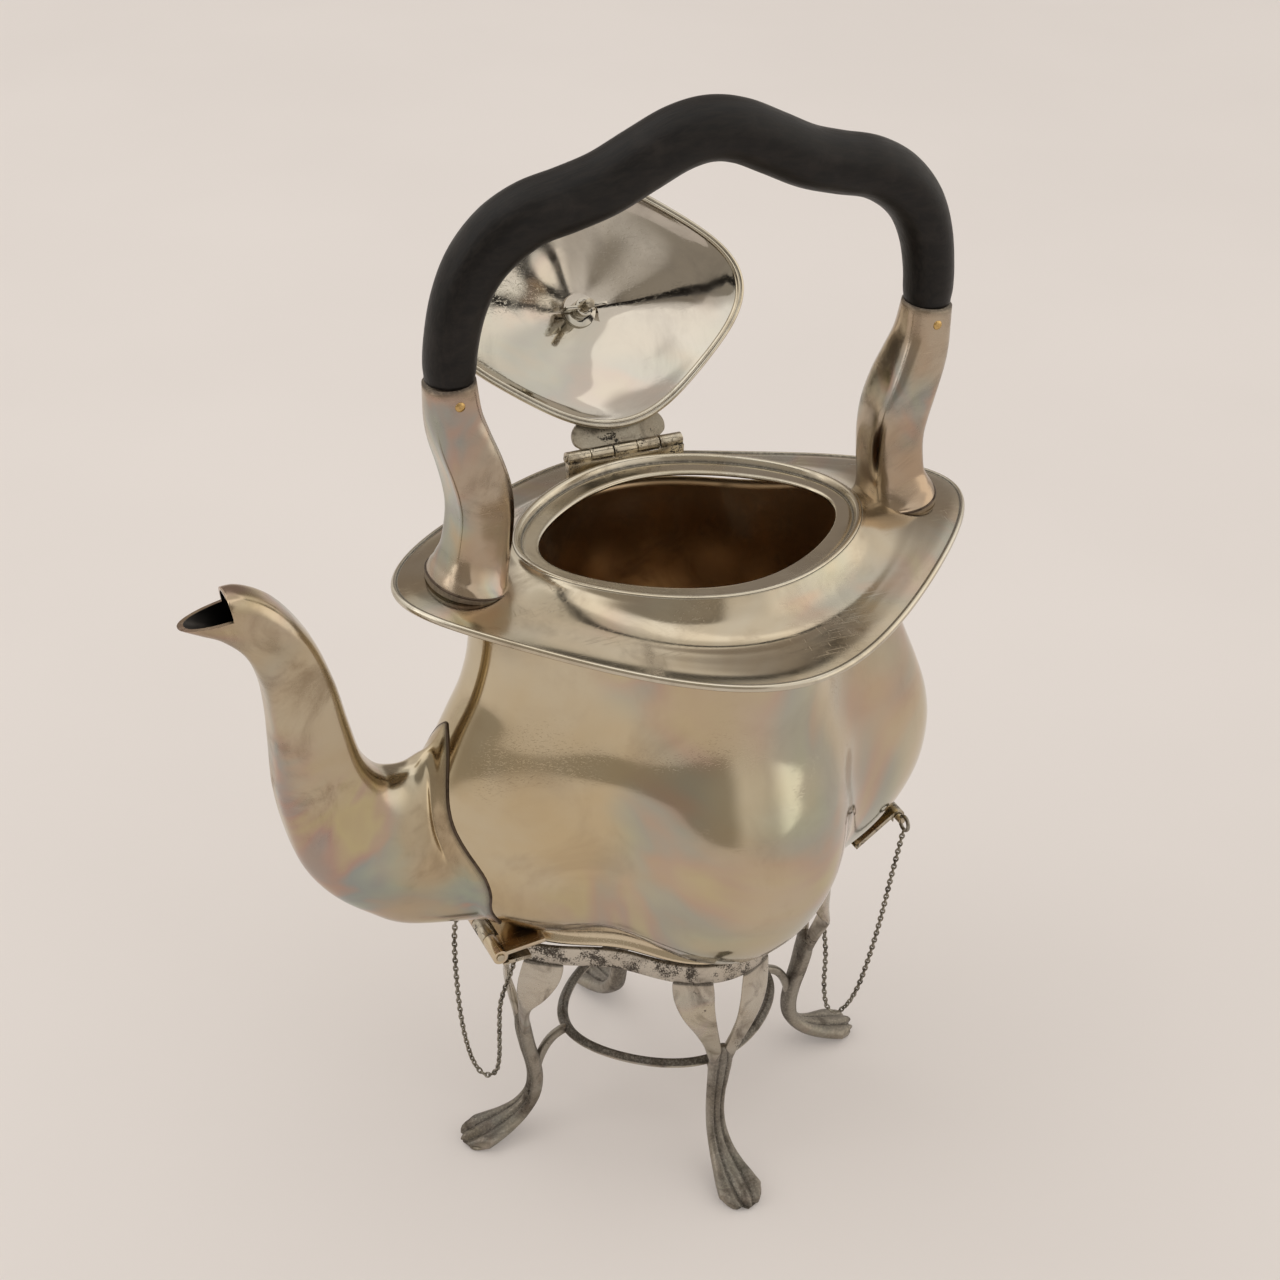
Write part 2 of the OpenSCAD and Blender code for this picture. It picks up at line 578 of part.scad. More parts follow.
// Routes of the two chains, from the pin's ring to the staple
front_route = [[-57.4, 16.6, 72.6], [-58.8, 16.4, 65], [-59, 16, 55], [-58.7, 15.4, 45],
    [-58.2, 14.6, 36], [-57.4, 13.4, 28], [-56.2, 11.6, 21], [-54.6, 9.4, 17], [-52.8, 7.2, 16.4],
    [-51, 5.2, 19.4], [-50.6, 4, 26], [-50.8, 3.4, 35], [-50.6, 3, 46], [-48.6, 1.6, 56],
    [-46.8, 0.3, 64.4]];
rear_route = [[64.6, -15.6, 84.6], [64, -14.8, 76], [63.2, -14, 66], [62.4, -13, 54],
    [61.4, -12, 43], [60.4, -11, 34], [59.2, -10, 26], [57.6, -8.6, 19], [55.6, -7, 14.6],
    [53.6, -5.6, 13.6], [51.9, -4.4, 16.4], [51, -3.6, 24], [50.8, -3, 36], [49.2, -1.8, 50],
    [46.8, -0.3, 64.4]];
module chain(route) {
    color("dimgray") bar(route, [for (p = route) [chain_r, chain_r]], [1, 0.3, 0.1], n = 8);
}
module front_chain() { chain(front_route); }
module rear_chain() { chain(rear_route); }

kettle_body();
kettle_base();
foot_band();
shoulder();
shoulder_edge();
neck_rim();
spout();
spout_strainer();
front_handle_socket();
rear_handle_socket();
handle_grip();
front_grip_rivet();
rear_grip_rivet();
body_hinge_leaf();
lid_hinge_pin();
kettle_front_leaf();
kettle_rear_leaf();
lid_shell();
lid_bezel();
lid_hinge_leaf();
finial_knob();
finial_washer();
finial_bolt();
finial_wing_nut();
stand_band();
near_leg();
far_leg();
front_leg();
rear_leg();
stretcher_ring();
stand_front_leaf();
stand_rear_leaf();
front_chain_staple();
rear_chain_staple();
front_pin();
front_pin_ring();
front_chain();
rear_pin();
rear_pin_ring();
rear_chain();
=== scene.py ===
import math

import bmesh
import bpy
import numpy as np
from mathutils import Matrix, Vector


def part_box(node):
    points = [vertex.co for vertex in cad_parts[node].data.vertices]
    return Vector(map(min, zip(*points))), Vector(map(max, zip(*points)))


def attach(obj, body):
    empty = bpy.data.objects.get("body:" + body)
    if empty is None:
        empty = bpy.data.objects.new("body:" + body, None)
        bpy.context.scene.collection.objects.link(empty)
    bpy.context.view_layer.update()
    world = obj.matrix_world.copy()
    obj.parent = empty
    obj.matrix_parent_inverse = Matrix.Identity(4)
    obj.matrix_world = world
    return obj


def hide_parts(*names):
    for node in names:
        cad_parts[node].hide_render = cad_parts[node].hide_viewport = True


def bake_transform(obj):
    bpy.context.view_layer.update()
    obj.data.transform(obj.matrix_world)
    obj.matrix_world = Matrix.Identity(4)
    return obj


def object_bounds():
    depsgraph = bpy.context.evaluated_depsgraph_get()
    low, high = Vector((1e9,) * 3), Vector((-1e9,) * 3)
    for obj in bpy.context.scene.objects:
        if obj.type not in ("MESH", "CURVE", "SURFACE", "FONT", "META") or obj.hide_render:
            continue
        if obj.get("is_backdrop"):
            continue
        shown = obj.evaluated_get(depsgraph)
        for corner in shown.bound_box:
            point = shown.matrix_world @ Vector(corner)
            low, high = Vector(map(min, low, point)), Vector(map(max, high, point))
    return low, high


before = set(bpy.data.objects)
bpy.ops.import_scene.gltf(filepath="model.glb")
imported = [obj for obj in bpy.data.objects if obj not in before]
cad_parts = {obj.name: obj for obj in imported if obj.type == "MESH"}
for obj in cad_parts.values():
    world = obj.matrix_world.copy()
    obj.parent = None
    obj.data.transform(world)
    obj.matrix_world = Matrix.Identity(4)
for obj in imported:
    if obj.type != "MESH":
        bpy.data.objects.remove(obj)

# %% [markdown]
# A silver spirit kettle stands on a low four-legged stand. The designed model is already here as a
# fixed frame: every joint, pin and knuckle has its place. This lesson rebuilds the pieces that have
# to look like old, worn silver, and gives a finish to those that already have the right
# shape. Sizes below are in millimetres, because a silversmith thinks in them, and one helper turns
# them into the metres that Blender works in.

MM = 0.001
scene = bpy.context.scene
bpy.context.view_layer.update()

# %% [markdown]
# The camera stands in front of the spout's side and looks down at the open lid. A long lens keeps
# the oval rim from stretching. It is placed from three angles and a distance, and the small roll
# is the last turn about its own line of sight.

# %% The camera
AIM = Vector((-10.4, 4.9, 154.7)) * MM
CAMERA_TURN = math.radians(-26.34)
CAMERA_RISE = math.radians(31.84)
CAMERA_ROLL = math.radians(2.08)
CAMERA_AWAY = 565.3 * MM

back = Vector((
    math.sin(CAMERA_TURN) * math.cos(CAMERA_RISE),
    -math.cos(CAMERA_TURN) * math.cos(CAMERA_RISE),
    math.sin(CAMERA_RISE),
))
lens_data = bpy.data.cameras.new("view_camera")
lens_data.lens = 61.13
lens_data.sensor_width = 36
lens_data.clip_start = 0.01
camera = bpy.data.objects.new("view_camera", lens_data)
scene.collection.objects.link(camera)
camera.rotation_mode = "QUATERNION"
roll = Matrix.Rotation(CAMERA_ROLL, 3, "Z").to_quaternion()
camera.rotation_quaternion = (-back).to_track_quat("-Z", "Y") @ roll
camera.location = AIM + back * CAMERA_AWAY
scene.camera = camera
print("camera at", [round(v, 3) for v in camera.location])

# %% [markdown]
# Almost every part of the kettle is raised from sheet over a stake, so each is a stack of soft rings. Two
# small tools make them all. The first draws a smooth line through a few given stations. The second turns a
# stack of rings into a mesh. A mesh that comes out inside out would shade wrongly, so its signed volume is
# measured and the faces are turned if it is negative.

# %% Smooth stations and ring meshes
def through(stations, count):
    """A smooth line of count rows through a few rows of numbers."""
    rows = np.array(stations, float)
    last = len(rows) - 1
    padded = np.vstack([2 * rows[0] - rows[1], rows, 2 * rows[-1] - rows[-2]])
    place = np.linspace(0, last, count)
    at = np.minimum(place.astype(int), last - 1)
    t = (place - at)[:, None]
    a, b, c, d = (padded[at + k] for k in range(4))
    return 0.5 * (2 * b + (c - a) * t + (2 * a - 5 * b + 4 * c - d) * t**2 + (3 * b - a - 3 * c + d) * t**3)


def new_piece(name, points, faces, smooth=True):
    """A mesh object from points in millimetres, its faces turned outwards."""
    mesh = bpy.data.meshes.new(name)
    mesh.from_pydata([tuple(p) for p in np.asarray(points, float) * MM], [], faces)
    work = bmesh.new()
    work.from_mesh(mesh)
    if work.calc_volume(signed=True) < 0:
        bmesh.ops.reverse_faces(work, faces=work.faces)
    work.to_mesh(mesh)
    work.free()
    mesh.polygons.foreach_set("use_smooth", [smooth] * len(mesh.polygons))
    piece = bpy.data.objects.new(name, mesh)
    scene.collection.objects.link(piece)
    return piece


def ring_faces(rows, columns, closed, first=0):
    """Quads between neighbouring rings, and from the last ring to the first if closed."""
    steps = rows if closed else rows - 1
    return [
        (
            first + i * columns + j,
            first + i * columns + (j + 1) % columns,
            first + (i + 1) % rows * columns + (j + 1) % columns,
            first + (i + 1) % rows * columns + j,
        )
        for i in range(steps)
        for j in range(columns)
    ]


def stack(name, rings, closed=False, skip=None):
    """A skin over rings of points. An open stack gets a flat cap at each end."""
    rings = np.asarray(rings, float)
    rows, columns = rings.shape[:2]
    faces = ring_faces(rows, columns, closed)
    if skip is not None:
        faces = [f for k, f in enumerate(faces) if not skip(k // columns, k % columns)]
    if not closed:
        faces.append(tuple(range(columns))[::-1])
        faces.append(tuple((rows - 1) * columns + j for j in range(columns)))
    return new_piece(name, rings.reshape(-1, 3), faces)


def evaluated_mesh(obj):
    """A new mesh with the object's modifiers applied."""
    bpy.context.view_layer.update()
    graph = bpy.context.evaluated_depsgraph_get()
    return bpy.data.meshes.new_from_object(obj.evaluated_get(graph))


def grime_and_shade(piece, values):
    """Stores how dark each point is, from 0 to 1, where the finishes can read it: grime, and on a few parts
    painted shade.
    """
    layer = piece.data.attributes.new("grime_and_shade", "FLOAT", "POINT")
    layer.data.foreach_set("value", np.clip(np.asarray(values, np.float32).ravel(), 0, 1))


def unit(v):
    return v / np.linalg.norm(v, axis=-1, keepdims=True)


def soft_step(value, low, high):
    """0 below low, 1 above high and a smooth rise between."""
    t = np.clip((np.asarray(value, float) - low) / (high - low), 0, 1)
    return t * t * (3 - 2 * t)


# %% [markdown]
# Seen from above, the kettle is a diamond with rounded corners whose four sides are pushed in a
# little, which leaves a lobe towards the spout, the handle's rear and each side. One formula gives
# that outline, so body, shoulder, neck, lid and foot all agree. Soft rounds the corners, sink draws
# the sides in, and droop lets the two long sides hang lower than the ends.

# %% The outline that every raised piece shares
TURN = 2 * math.pi


def outline(half_x, half_y, soft, sink, z, droop=0.0, sides=192):
    """One ring of the kettle's plan."""
    t = np.arange(sides) * TURN / sides
    reach = (math.sqrt(1 + soft**2) + soft) / (np.sqrt(np.cos(t)**2 + soft**2)
                                               + np.sqrt(np.sin(t)**2 + soft**2))
    reach = reach * (1 - sink * (1 - np.cos(4 * t)))
    height = z - droop * (1 - np.cos(2 * t)) / 2
    return np.stack([half_x * reach * np.cos(t), half_y * reach * np.sin(t), height], 1)


# %% [markdown]
# A finish is what makes silver believable. Three effects are shared, so each is a shader node group that a
# material places with its own values: a patina that drifts from clean to warm and here and there to the
# thin colours of an oil film, black oxide that sits in pits and seams, which on a few parts also carries
# painted shade, and the fine scratches that years of polishing leave. They read object coordinates, so
# nothing slides when a part moves.

# %% Building blocks for shader groups
def add(tree, kind, **inputs):
    """Adds a node and sets the inputs that are given by name; a socket value is linked."""
    node = tree.nodes.new(kind)
    for name, value in inputs.items():
        fill(tree, node.inputs[name.replace("_", " ")], value)
    return node


def fill(tree, socket, value):
    if isinstance(value, bpy.types.NodeSocket):
        tree.links.new(value, socket)
    else:
        socket.default_value = value


def maths(tree, operation, a, b=0.0, clamp=False):
    node = tree.nodes.new("ShaderNodeMath")
    node.operation = operation
    node.use_clamp = clamp
    fill(tree, node.inputs[0], a)
    fill(tree, node.inputs[1], b)
    return node.outputs[0]


def spread(tree, value, low, high, to_low=0.0, to_high=1.0):
    """Maps low to high onto a new range, smoothly and without overshoot."""
    node = tree.nodes.new("ShaderNodeMapRange")
    node.interpolation_type = "SMOOTHSTEP"
    for socket, number in zip(node.inputs[:5], (value, low, high, to_low, to_high)):
        fill(tree, socket, number)
    return node.outputs[0]


def blend_colour(tree, factor, a, b, mode="MIX"):
    node = tree.nodes.new("ShaderNodeMix")
    node.data_type = "RGBA"
    node.blend_type = mode
    fill(tree, node.inputs["Factor"], factor)
    fill(tree, node.inputs[6], a)
    fill(tree, node.inputs[7], b)
    return node.outputs[2]


def noise(tree, place, scale, detail=3.0, rough=0.5, bend=0.0):
    node = add(tree, "ShaderNodeTexNoise", Vector=place, Scale=scale, Detail=detail, Roughness=rough,
               Distortion=bend)
    return node.outputs["Fac"]


def stretched(tree, place, turn, scale):
    """The place turned and scaled, so that a round pattern becomes a streak."""
    node = add(tree, "ShaderNodeMapping", Vector=place, Rotation=turn, Scale=scale)
    return node.outputs["Vector"]


def new_group(name, inputs, outputs):
    """An empty shader group with named sockets: {name: (kind, default)}."""
    tree = bpy.data.node_groups.new(name, "ShaderNodeTree")
    for label, (kind, default) in inputs.items():
        socket = tree.interface.new_socket(label, in_out="INPUT", socket_type=kind)
        socket.default_value = default
    for label, kind in outputs.items():
        tree.interface.new_socket(label, in_out="OUTPUT", socket_type=kind)
    return tree, tree.nodes.new("NodeGroupInput").outputs, tree.nodes.new("NodeGroupOutput").inputs


NUMBER = "NodeSocketFloat"
COLOUR = "NodeSocketColor"

# %% [markdown]
# Patina is a slow chemical film. It could be painted by hand, but a film follows no edges, so three
# layers of noise at different sizes do it: a broad drift from clean to warm silver, a cloud of
# darker brown, and islands of film colour where the layer is just thick enough to split light.

# %% The patina group
def make_patina():
    tree, given, out = new_group("patina", {
        "Clean": (COLOUR, (0.8, 0.78, 0.74, 1)),
        "Warm": (COLOUR, (0.7, 0.55, 0.35, 1)),
        "Dark": (COLOUR, (0.25, 0.18, 0.12, 1)),
        "Patches": (NUMBER, 25.0),
        "Warmth": (NUMBER, 0.5),
        "Shade": (NUMBER, 0.3),
        "Film": (NUMBER, 0.0),
    }, {"Colour": COLOUR, "Cloud": NUMBER})
    place = tree.nodes.new("ShaderNodeTexCoord").outputs["Object"]
    broad = noise(tree, place, given["Patches"], 4.0, 0.55, 0.4)
    warm = maths(tree, "MULTIPLY", spread(tree, broad, 0.32, 0.68), given["Warmth"], True)
    colour = blend_colour(tree, warm, given["Clean"], given["Warm"])
    cloud = spread(tree, noise(tree, place, maths(tree, "MULTIPLY", given["Patches"], 2.1), 7.0, 0.62, 0.8),
                   0.46, 0.72)
    colour = blend_colour(tree, maths(tree, "MULTIPLY", cloud, given["Shade"], True), colour, given["Dark"])
    film_place = maths(tree, "MULTIPLY", given["Patches"], 0.9)
    thickness = noise(tree, place, film_place, 3.0, 0.5, 1.2)
    ramp = tree.nodes.new("ShaderNodeValToRGB")
    bands = ramp.color_ramp
    bands.elements[0].position = 0.3
    bands.elements[0].color = (0.46, 0.36, 0.22, 1)
    bands.elements[1].position = 0.7
    bands.elements[1].color = (0.50, 0.42, 0.26, 1)
    for position, tint in ((0.40, (0.52, 0.44, 0.24, 1)), (0.47, (0.44, 0.29, 0.25, 1)),
                           (0.53, (0.28, 0.33, 0.34, 1)), (0.60, (0.33, 0.42, 0.36, 1))):
        bands.elements.new(position).color = tint
    tree.links.new(thickness, ramp.inputs["Fac"])
    shapes = noise(tree, stretched(tree, place, (0.4, 0.9, 0.2), (1.0, 1.7, 1.0)), film_place, 2.0)
    islands = spread(tree, shapes, 0.45, 0.62)
    film = maths(tree, "MULTIPLY", islands, given["Film"], True)
    tree.links.new(blend_colour(tree, film, colour, ramp.outputs["Color"]), out["Colour"])
    tree.links.new(cloud, out["Cloud"])
    return tree


patina = make_patina()
print("made the patina group")

# %% [markdown]
# Oxide is black sulphide that polishing never reaches. It sits in pits as small specks that gather in
# patches, and along seams, where each mesh stores its own grime value; on a few parts that stored value
# also carries painted shade. The mask multiplies a fine noise by a broad one, so that the specks come in
# drifts and not as an even sprinkle.

# %% The oxide group, which also carries painted shade
def make_oxide_and_shade():
    tree, given, out = new_group("oxide_and_shade", {
        "Speck Size": (NUMBER, 1400.0),
        "Drift Size": (NUMBER, 45.0),
        "Amount": (NUMBER, 0.3),
    }, {"Mask": NUMBER})
    place = tree.nodes.new("ShaderNodeTexCoord").outputs["Object"]
    specks = noise(tree, place, given["Speck Size"], 5.0, 0.7)
    drift = noise(tree, place, given["Drift Size"], 4.0, 0.6, 0.5)
    level = maths(tree, "ADD", maths(tree, "MULTIPLY", drift, 0.55), maths(tree, "MULTIPLY", specks, 0.45))
    edge = maths(tree, "SUBTRACT", 0.72, maths(tree, "MULTIPLY", given["Amount"], 0.30))
    pits = spread(tree, level, edge, maths(tree, "ADD", edge, 0.045))
    # The stored value: grime along seams, and painted shade on a few parts
    layer = tree.nodes.new("ShaderNodeAttribute")
    layer.attribute_name = "grime_and_shade"
    broken = spread(tree, specks, 0.25, 0.6, 0.55, 1.0)
    seams_and_shade = maths(tree, "MULTIPLY", layer.outputs["Fac"], broken, True)
    tree.links.new(maths(tree, "MAXIMUM", pits, seams_and_shade), out["Mask"])
    return tree


oxide_and_shade = make_oxide_and_shade()
print("made the oxide group")

# %% [markdown]
# Polishing scratches are too fine to model, so they are streaks of noise: the same round noise read
# through a stretched place, at three angles. They feed the bump and the roughness together, because
# a scratched patch both catches light and blurs it.

# %% The rubbing group
def make_rubbing():
    tree, given, out = new_group("rubbing", {
        "Fineness": (NUMBER, 1.0),
        "Dents": (NUMBER, 0.4),
    }, {"Height": NUMBER, "Haze": NUMBER})
    place = tree.nodes.new("ShaderNodeTexCoord").outputs["Object"]
    streaks = None
    for turn, size in (((0.3, 0.5, 0.9), (60, 2600, 1500)), ((1.1, 0.2, 2.2), (90, 1900, 2300)),
                       ((0.7, 1.3, 0.1), (1700, 70, 2100))):
        layer = noise(tree, stretched(tree, place, turn, size), given["Fineness"], 2.0)
        layer = spread(tree, layer, 0.60, 0.74)
        streaks = layer if streaks is None else maths(tree, "MAXIMUM", streaks, layer)
    where = spread(tree, noise(tree, place, 38.0, 3.0), 0.42, 0.66)
    marks = maths(tree, "MULTIPLY", streaks, where)
    waves = maths(tree, "MULTIPLY", noise(tree, place, 55.0, 1.0), given["Dents"])
    tree.links.new(maths(tree, "SUBTRACT", waves, maths(tree, "MULTIPLY", marks, 0.05)), out["Height"])
    tree.links.new(marks, out["Haze"])
    return tree


rubbing = make_rubbing()
print("made the rubbing group")

# %% [markdown]
# Every silver on the object is the same metal at a different age, so one function mixes the three
# groups into a material and a small table of recipes sets how warm, dark, filmed, specked and
# scratched each one is. Constant numbers go straight onto the shader; only what varies is linked.

# %% Silver finishes
def placed(tree, group, **values):
    node = tree.nodes.new("ShaderNodeGroup")
    node.node_tree = group
    for name, value in values.items():
        fill(tree, node.inputs[name.replace("_", " ")], value)
    return node.outputs


def silver(name, clean, warm, dark, patches=22.0, warmth=0.5, shade=0.3, film=0.0, specks=0.1,
           speck_size=1400.0, drift=45.0, gloss=0.14, haze=0.2, dents=0.35, soot_and_shade=(0.03, 0.024, 0.018, 1)):
    """A silver or gilt finish; colours are linear, sizes are counts per metre."""
    material = bpy.data.materials.new(name)
    material.use_nodes = True
    tree = material.node_tree
    shader = tree.nodes["Principled BSDF"]
    film_out = placed(tree, patina, Clean=(*clean, 1), Warm=(*warm, 1), Dark=(*dark, 1), Patches=patches,
                      Warmth=warmth, Shade=shade, Film=film)
    darkening = placed(tree, oxide_and_shade, Speck_Size=speck_size, Drift_Size=drift, Amount=specks)["Mask"]
    wear = placed(tree, rubbing, Fineness=1.0, Dents=dents)
    # The mask blends in the soot colour: oxide and grime, and on a few parts painted shade
    tree.links.new(blend_colour(tree, darkening, film_out["Colour"], soot_and_shade), shader.inputs["Base Color"])
    rough = maths(tree, "ADD", maths(tree, "MULTIPLY", film_out["Cloud"], haze),
                  maths(tree, "MULTIPLY", wear["Haze"], 0.12))
    rough = maths(tree, "ADD", rough, maths(tree, "MULTIPLY", darkening, 0.35))
    tree.links.new(maths(tree, "ADD", rough, gloss, True), shader.inputs["Roughness"])
    tree.links.new(maths(tree, "SUBTRACT", 1.0, maths(tree, "MULTIPLY", darkening, 0.7)),
                   shader.inputs["Metallic"])
    bump = add(tree, "ShaderNodeBump", Strength=0.35, Distance=0.0006)
    height = maths(tree, "SUBTRACT", wear["Height"], maths(tree, "MULTIPLY", darkening, 0.12))
    tree.links.new(height, bump.inputs["Height"])
    tree.links.new(bump.outputs["Normal"], shader.inputs["Normal"])
    return material


finishes = {
    "body": silver("body_silver", (0.60, 0.535, 0.405), (0.56, 0.435, 0.255), (0.30, 0.21, 0.13),
                   patches=16,
                   warmth=0.8, shade=0.3, film=0.55, specks=0.02, gloss=0.10, haze=0.10),
    "shoulder": silver("shoulder_silver", (0.56, 0.51, 0.41), (0.47, 0.37, 0.235), (0.26, 0.20, 0.14),
                       patches=20,
                       warmth=0.7, shade=0.4, film=0.4, specks=0.14, speck_size=900, gloss=0.15, haze=0.16),
    "spout": silver("spout_silver", (0.54, 0.47, 0.35), (0.46, 0.35, 0.21), (0.22, 0.15, 0.09), patches=26,
                    warmth=0.75, shade=0.6, film=0.75, specks=0.12, speck_size=900, gloss=0.17, haze=0.16),
    "socket": silver("socket_silver", (0.49, 0.425, 0.335), (0.43, 0.30, 0.195), (0.20, 0.15, 0.11),
                     patches=34,
                     warmth=0.7, shade=0.5, film=0.6, specks=0.14, gloss=0.17, haze=0.18),
    "rim": silver("rim_silver", (0.62, 0.58, 0.49), (0.52, 0.44, 0.31), (0.22, 0.17, 0.12), patches=30,
                  warmth=0.6, shade=0.4, specks=0.16, gloss=0.17, haze=0.15),
    "lid": silver("lid_silver", (0.57, 0.535, 0.475), (0.48, 0.425, 0.35), (0.30, 0.27, 0.24), patches=22,
                  warmth=0.5, shade=0.35, film=0.2, specks=0.03, gloss=0.07, haze=0.12, dents=0.7),
    "gilt": silver("gilt_silver", (0.68, 0.60, 0.45), (0.62, 0.50, 0.35), (0.36, 0.24, 0.16), patches=30,
                   warmth=0.7, shade=0.25, film=0.3, specks=0.04, gloss=0.2, haze=0.12),
    "stand": silver("stand_silver", (0.55, 0.51, 0.44), (0.44, 0.37, 0.28), (0.12, 0.09, 0.07), patches=60,
                    warmth=0.5, shade=0.75, film=0.15, specks=0.40, speck_size=1600, drift=130, gloss=0.22,
                    haze=0.2),
    "band": silver("band_silver", (0.68, 0.63, 0.55), (0.54, 0.46, 0.36), (0.16, 0.13, 0.10), patches=60,
                   warmth=0.4, shade=0.5, specks=0.76, speck_size=2400, drift=210, gloss=0.24, haze=0.2,
                   soot_and_shade=(0.075, 0.062, 0.05, 1)),
    "hinge": silver("hinge_silver", (0.56, 0.51, 0.41), (0.44, 0.36, 0.25), (0.12, 0.09, 0.065), patches=80,
                    warmth=0.5, shade=0.7, specks=0.55, speck_size=2200, drift=200, gloss=0.22, haze=0.2),
    "chain": silver("chain_silver", (0.34, 0.32, 0.27), (0.24, 0.20, 0.15), (0.06, 0.05, 0.04), patches=140,
                    warmth=0.5, shade=0.9, specks=0.45, speck_size=3000, drift=300, gloss=0.28, haze=0.2),
    "brass": silver("rivet_brass", (0.62, 0.42, 0.17), (0.52, 0.33, 0.12), (0.20, 0.13, 0.07), patches=300,
                    warmth=0.5, shade=0.5, specks=0.2, speck_size=4000, gloss=0.25),
    "inside": silver("inside_tarnish", (0.62, 0.46, 0.29), (0.52, 0.36, 0.21), (0.28, 0.18, 0.10),
                     patches=28,
                     warmth=0.6, shade=0.6, specks=0.12, speck_size=500, gloss=0.30, haze=0.15),
    "seam": silver("blackened_solder", (0.12, 0.09, 0.07), (0.09, 0.065, 0.045), (0.03, 0.022, 0.016),
                   patches=90,
                   warmth=0.6, shade=0.7, specks=0.3, gloss=0.4),
    # Painted shade: the near-black finish of the spout's inside
    "soot_and_shade": silver("spout_inside_painted_shade", (0.10, 0.095, 0.09), (0.06, 0.055, 0.05), (0.02, 0.018, 0.015), patches=60,
                   warmth=0.7, shade=0.6, specks=0.2, gloss=0.42),
}
print("silver finishes:", sorted(finishes))

# %% [markdown]
# The grip is turned and carved hardwood, stained black and waxed. It is almost black, so its
# character comes from how the sheen breaks: a faint grain that runs with the wood and a few bruises.

# %% Black wood
def make_black_wood():
    material = bpy.data.materials.new("black_wood")
    material.use_nodes = True
    tree = material.node_tree
    shader = tree.nodes["Principled BSDF"]
    shader.inputs["IOR"].default_value = 1.48
    shader.inputs["Specular IOR Level"].default_value = 0.24
    place = tree.nodes.new("ShaderNodeTexCoord").outputs["Object"]
    grain = noise(tree, stretched(tree, place, (0, 0, 0), (160, 1400, 500)), 1.0, 4.0, 0.6, 0.3)
    wear = spread(tree, noise(tree, place, 70.0, 5.0, 0.6), 0.5, 0.75)
    colour = blend_colour(tree, spread(tree, grain, 0.35, 0.7), (0.007, 0.0062, 0.006, 1),
                          (0.015, 0.0125, 0.011, 1))
    colour = blend_colour(tree, maths(tree, "MULTIPLY", wear, 0.5), colour, (0.035, 0.029, 0.026, 1))
    tree.links.new(colour, shader.inputs["Base Color"])
    tree.links.new(spread(tree, grain, 0.3, 0.7, 0.36, 0.50), shader.inputs["Roughness"])
    bump = add(tree, "ShaderNodeBump", Strength=0.25, Distance=0.0003, Height=grain)
    tree.links.new(bump.outputs["Normal"], shader.inputs["Normal"])
    return material


finishes["wood"] = make_black_wood()


def dress(piece, finish, body, slot, *nodes):
    """Gives a finished piece its material and body, and hides what it stands for. The slot argument is not
    used.
    """
    if not piece.data.materials:
        piece.data.materials.append(finishes[finish])
    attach(piece, body)
    if nodes:
        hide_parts(*nodes)
    count = sum(len(p.vertices) - 2 for p in piece.data.polygons)
    print(f"{piece.name}: {count} triangles")
    return piece


# %% [markdown]
# The body is one raised shell. Its stations say, at each height, what share of the full length and
# width it reaches and how deep the four sides sink. The skin runs up the outside and back down the
# inside, so the wall has its real thickness. A window behind the spout lets the water out. The
# inner wall never sees a polishing cloth, so it takes the brown tarnish.

# %% Kettle body
BODY_HALF = (76.0, 57.0)
LOBE_DEPTH = 0.13
SHEET = 1.2
BODY_STATIONS = [
    (0.55, 0.63, 0.6, 78), (0.67, 0.76, 0.9, 80.5), (0.8, 0.87, 1, 87), (0.91, 0.95, 1, 95),
    (0.98, 1, 1, 105), (1, 0.99, 1, 116), (0.98, 0.95, 1, 126), (0.93, 0.88, 0.9, 136),
    (0.87, 0.81, 0.9, 146), (0.81, 0.765, 0.85, 156), (0.78, 0.745, 0.8, 168), (0.785, 0.755, 0.7, 185.9),
]
UNDER_LIFT = 3.4
BODY_ROWS = 78
BODY_SIDES = 224
body_rows = through(BODY_STATIONS, BODY_ROWS)


def body_ring(row, inset, sides=BODY_SIDES):
    length, width, sink, z = row
    top_droop = 5.2 * soft_step(z, 168, 186)
    lift = inset if z < 79 else 0
    ring = outline(BODY_HALF[0] * length - inset, BODY_HALF[1] * width - inset, 1.2,
                   LOBE_DEPTH * sink, z + lift, top_droop, sides)
    # Between the lobes the underside arches up over the foot
    t = np.arange(sides) * TURN / sides
    ring[:, 2] += UNDER_LIFT * (1 - soft_step(z, 79, 93)) * (1 - np.cos(4 * t)) / 2
    return ring


rings = [body_ring(r, 0) for r in body_rows] + [body_ring(r, SHEET) for r in body_rows[::-1]]
window_rows = (round(3 * (BODY_ROWS - 1) / 11), round(6 * (BODY_ROWS - 1) / 11))
window_sides = (round(BODY_SIDES * 26.6 / 56), round(BODY_SIDES * 29.4 / 56))


def in_window(row, side):
    mirrored = 2 * BODY_ROWS - 2 - row
    inside_rows = any(window_rows[0] <= r < window_rows[1] for r in (row, mirrored))
    return inside_rows and window_sides[0] <= side < window_sides[1]


kettle_body = stack("kettle_body_shell", rings, closed=True, skip=in_window)


def close_window(piece):
    """Joins the outer and the inner wall round the window."""
    work = bmesh.new()
    work.from_mesh(piece.data)
    open_edges = [e for e in work.edges if e.is_boundary]
    bmesh.ops.bridge_loops(work, edges=open_edges)
    bmesh.ops.recalc_face_normals(work, faces=work.faces)
    if work.calc_volume(signed=True) < 0:
        bmesh.ops.reverse_faces(work, faces=work.faces)
    work.to_mesh(piece.data)
    work.free()
    piece.data.polygons.foreach_set("use_smooth", [True] * len(piece.data.polygons))


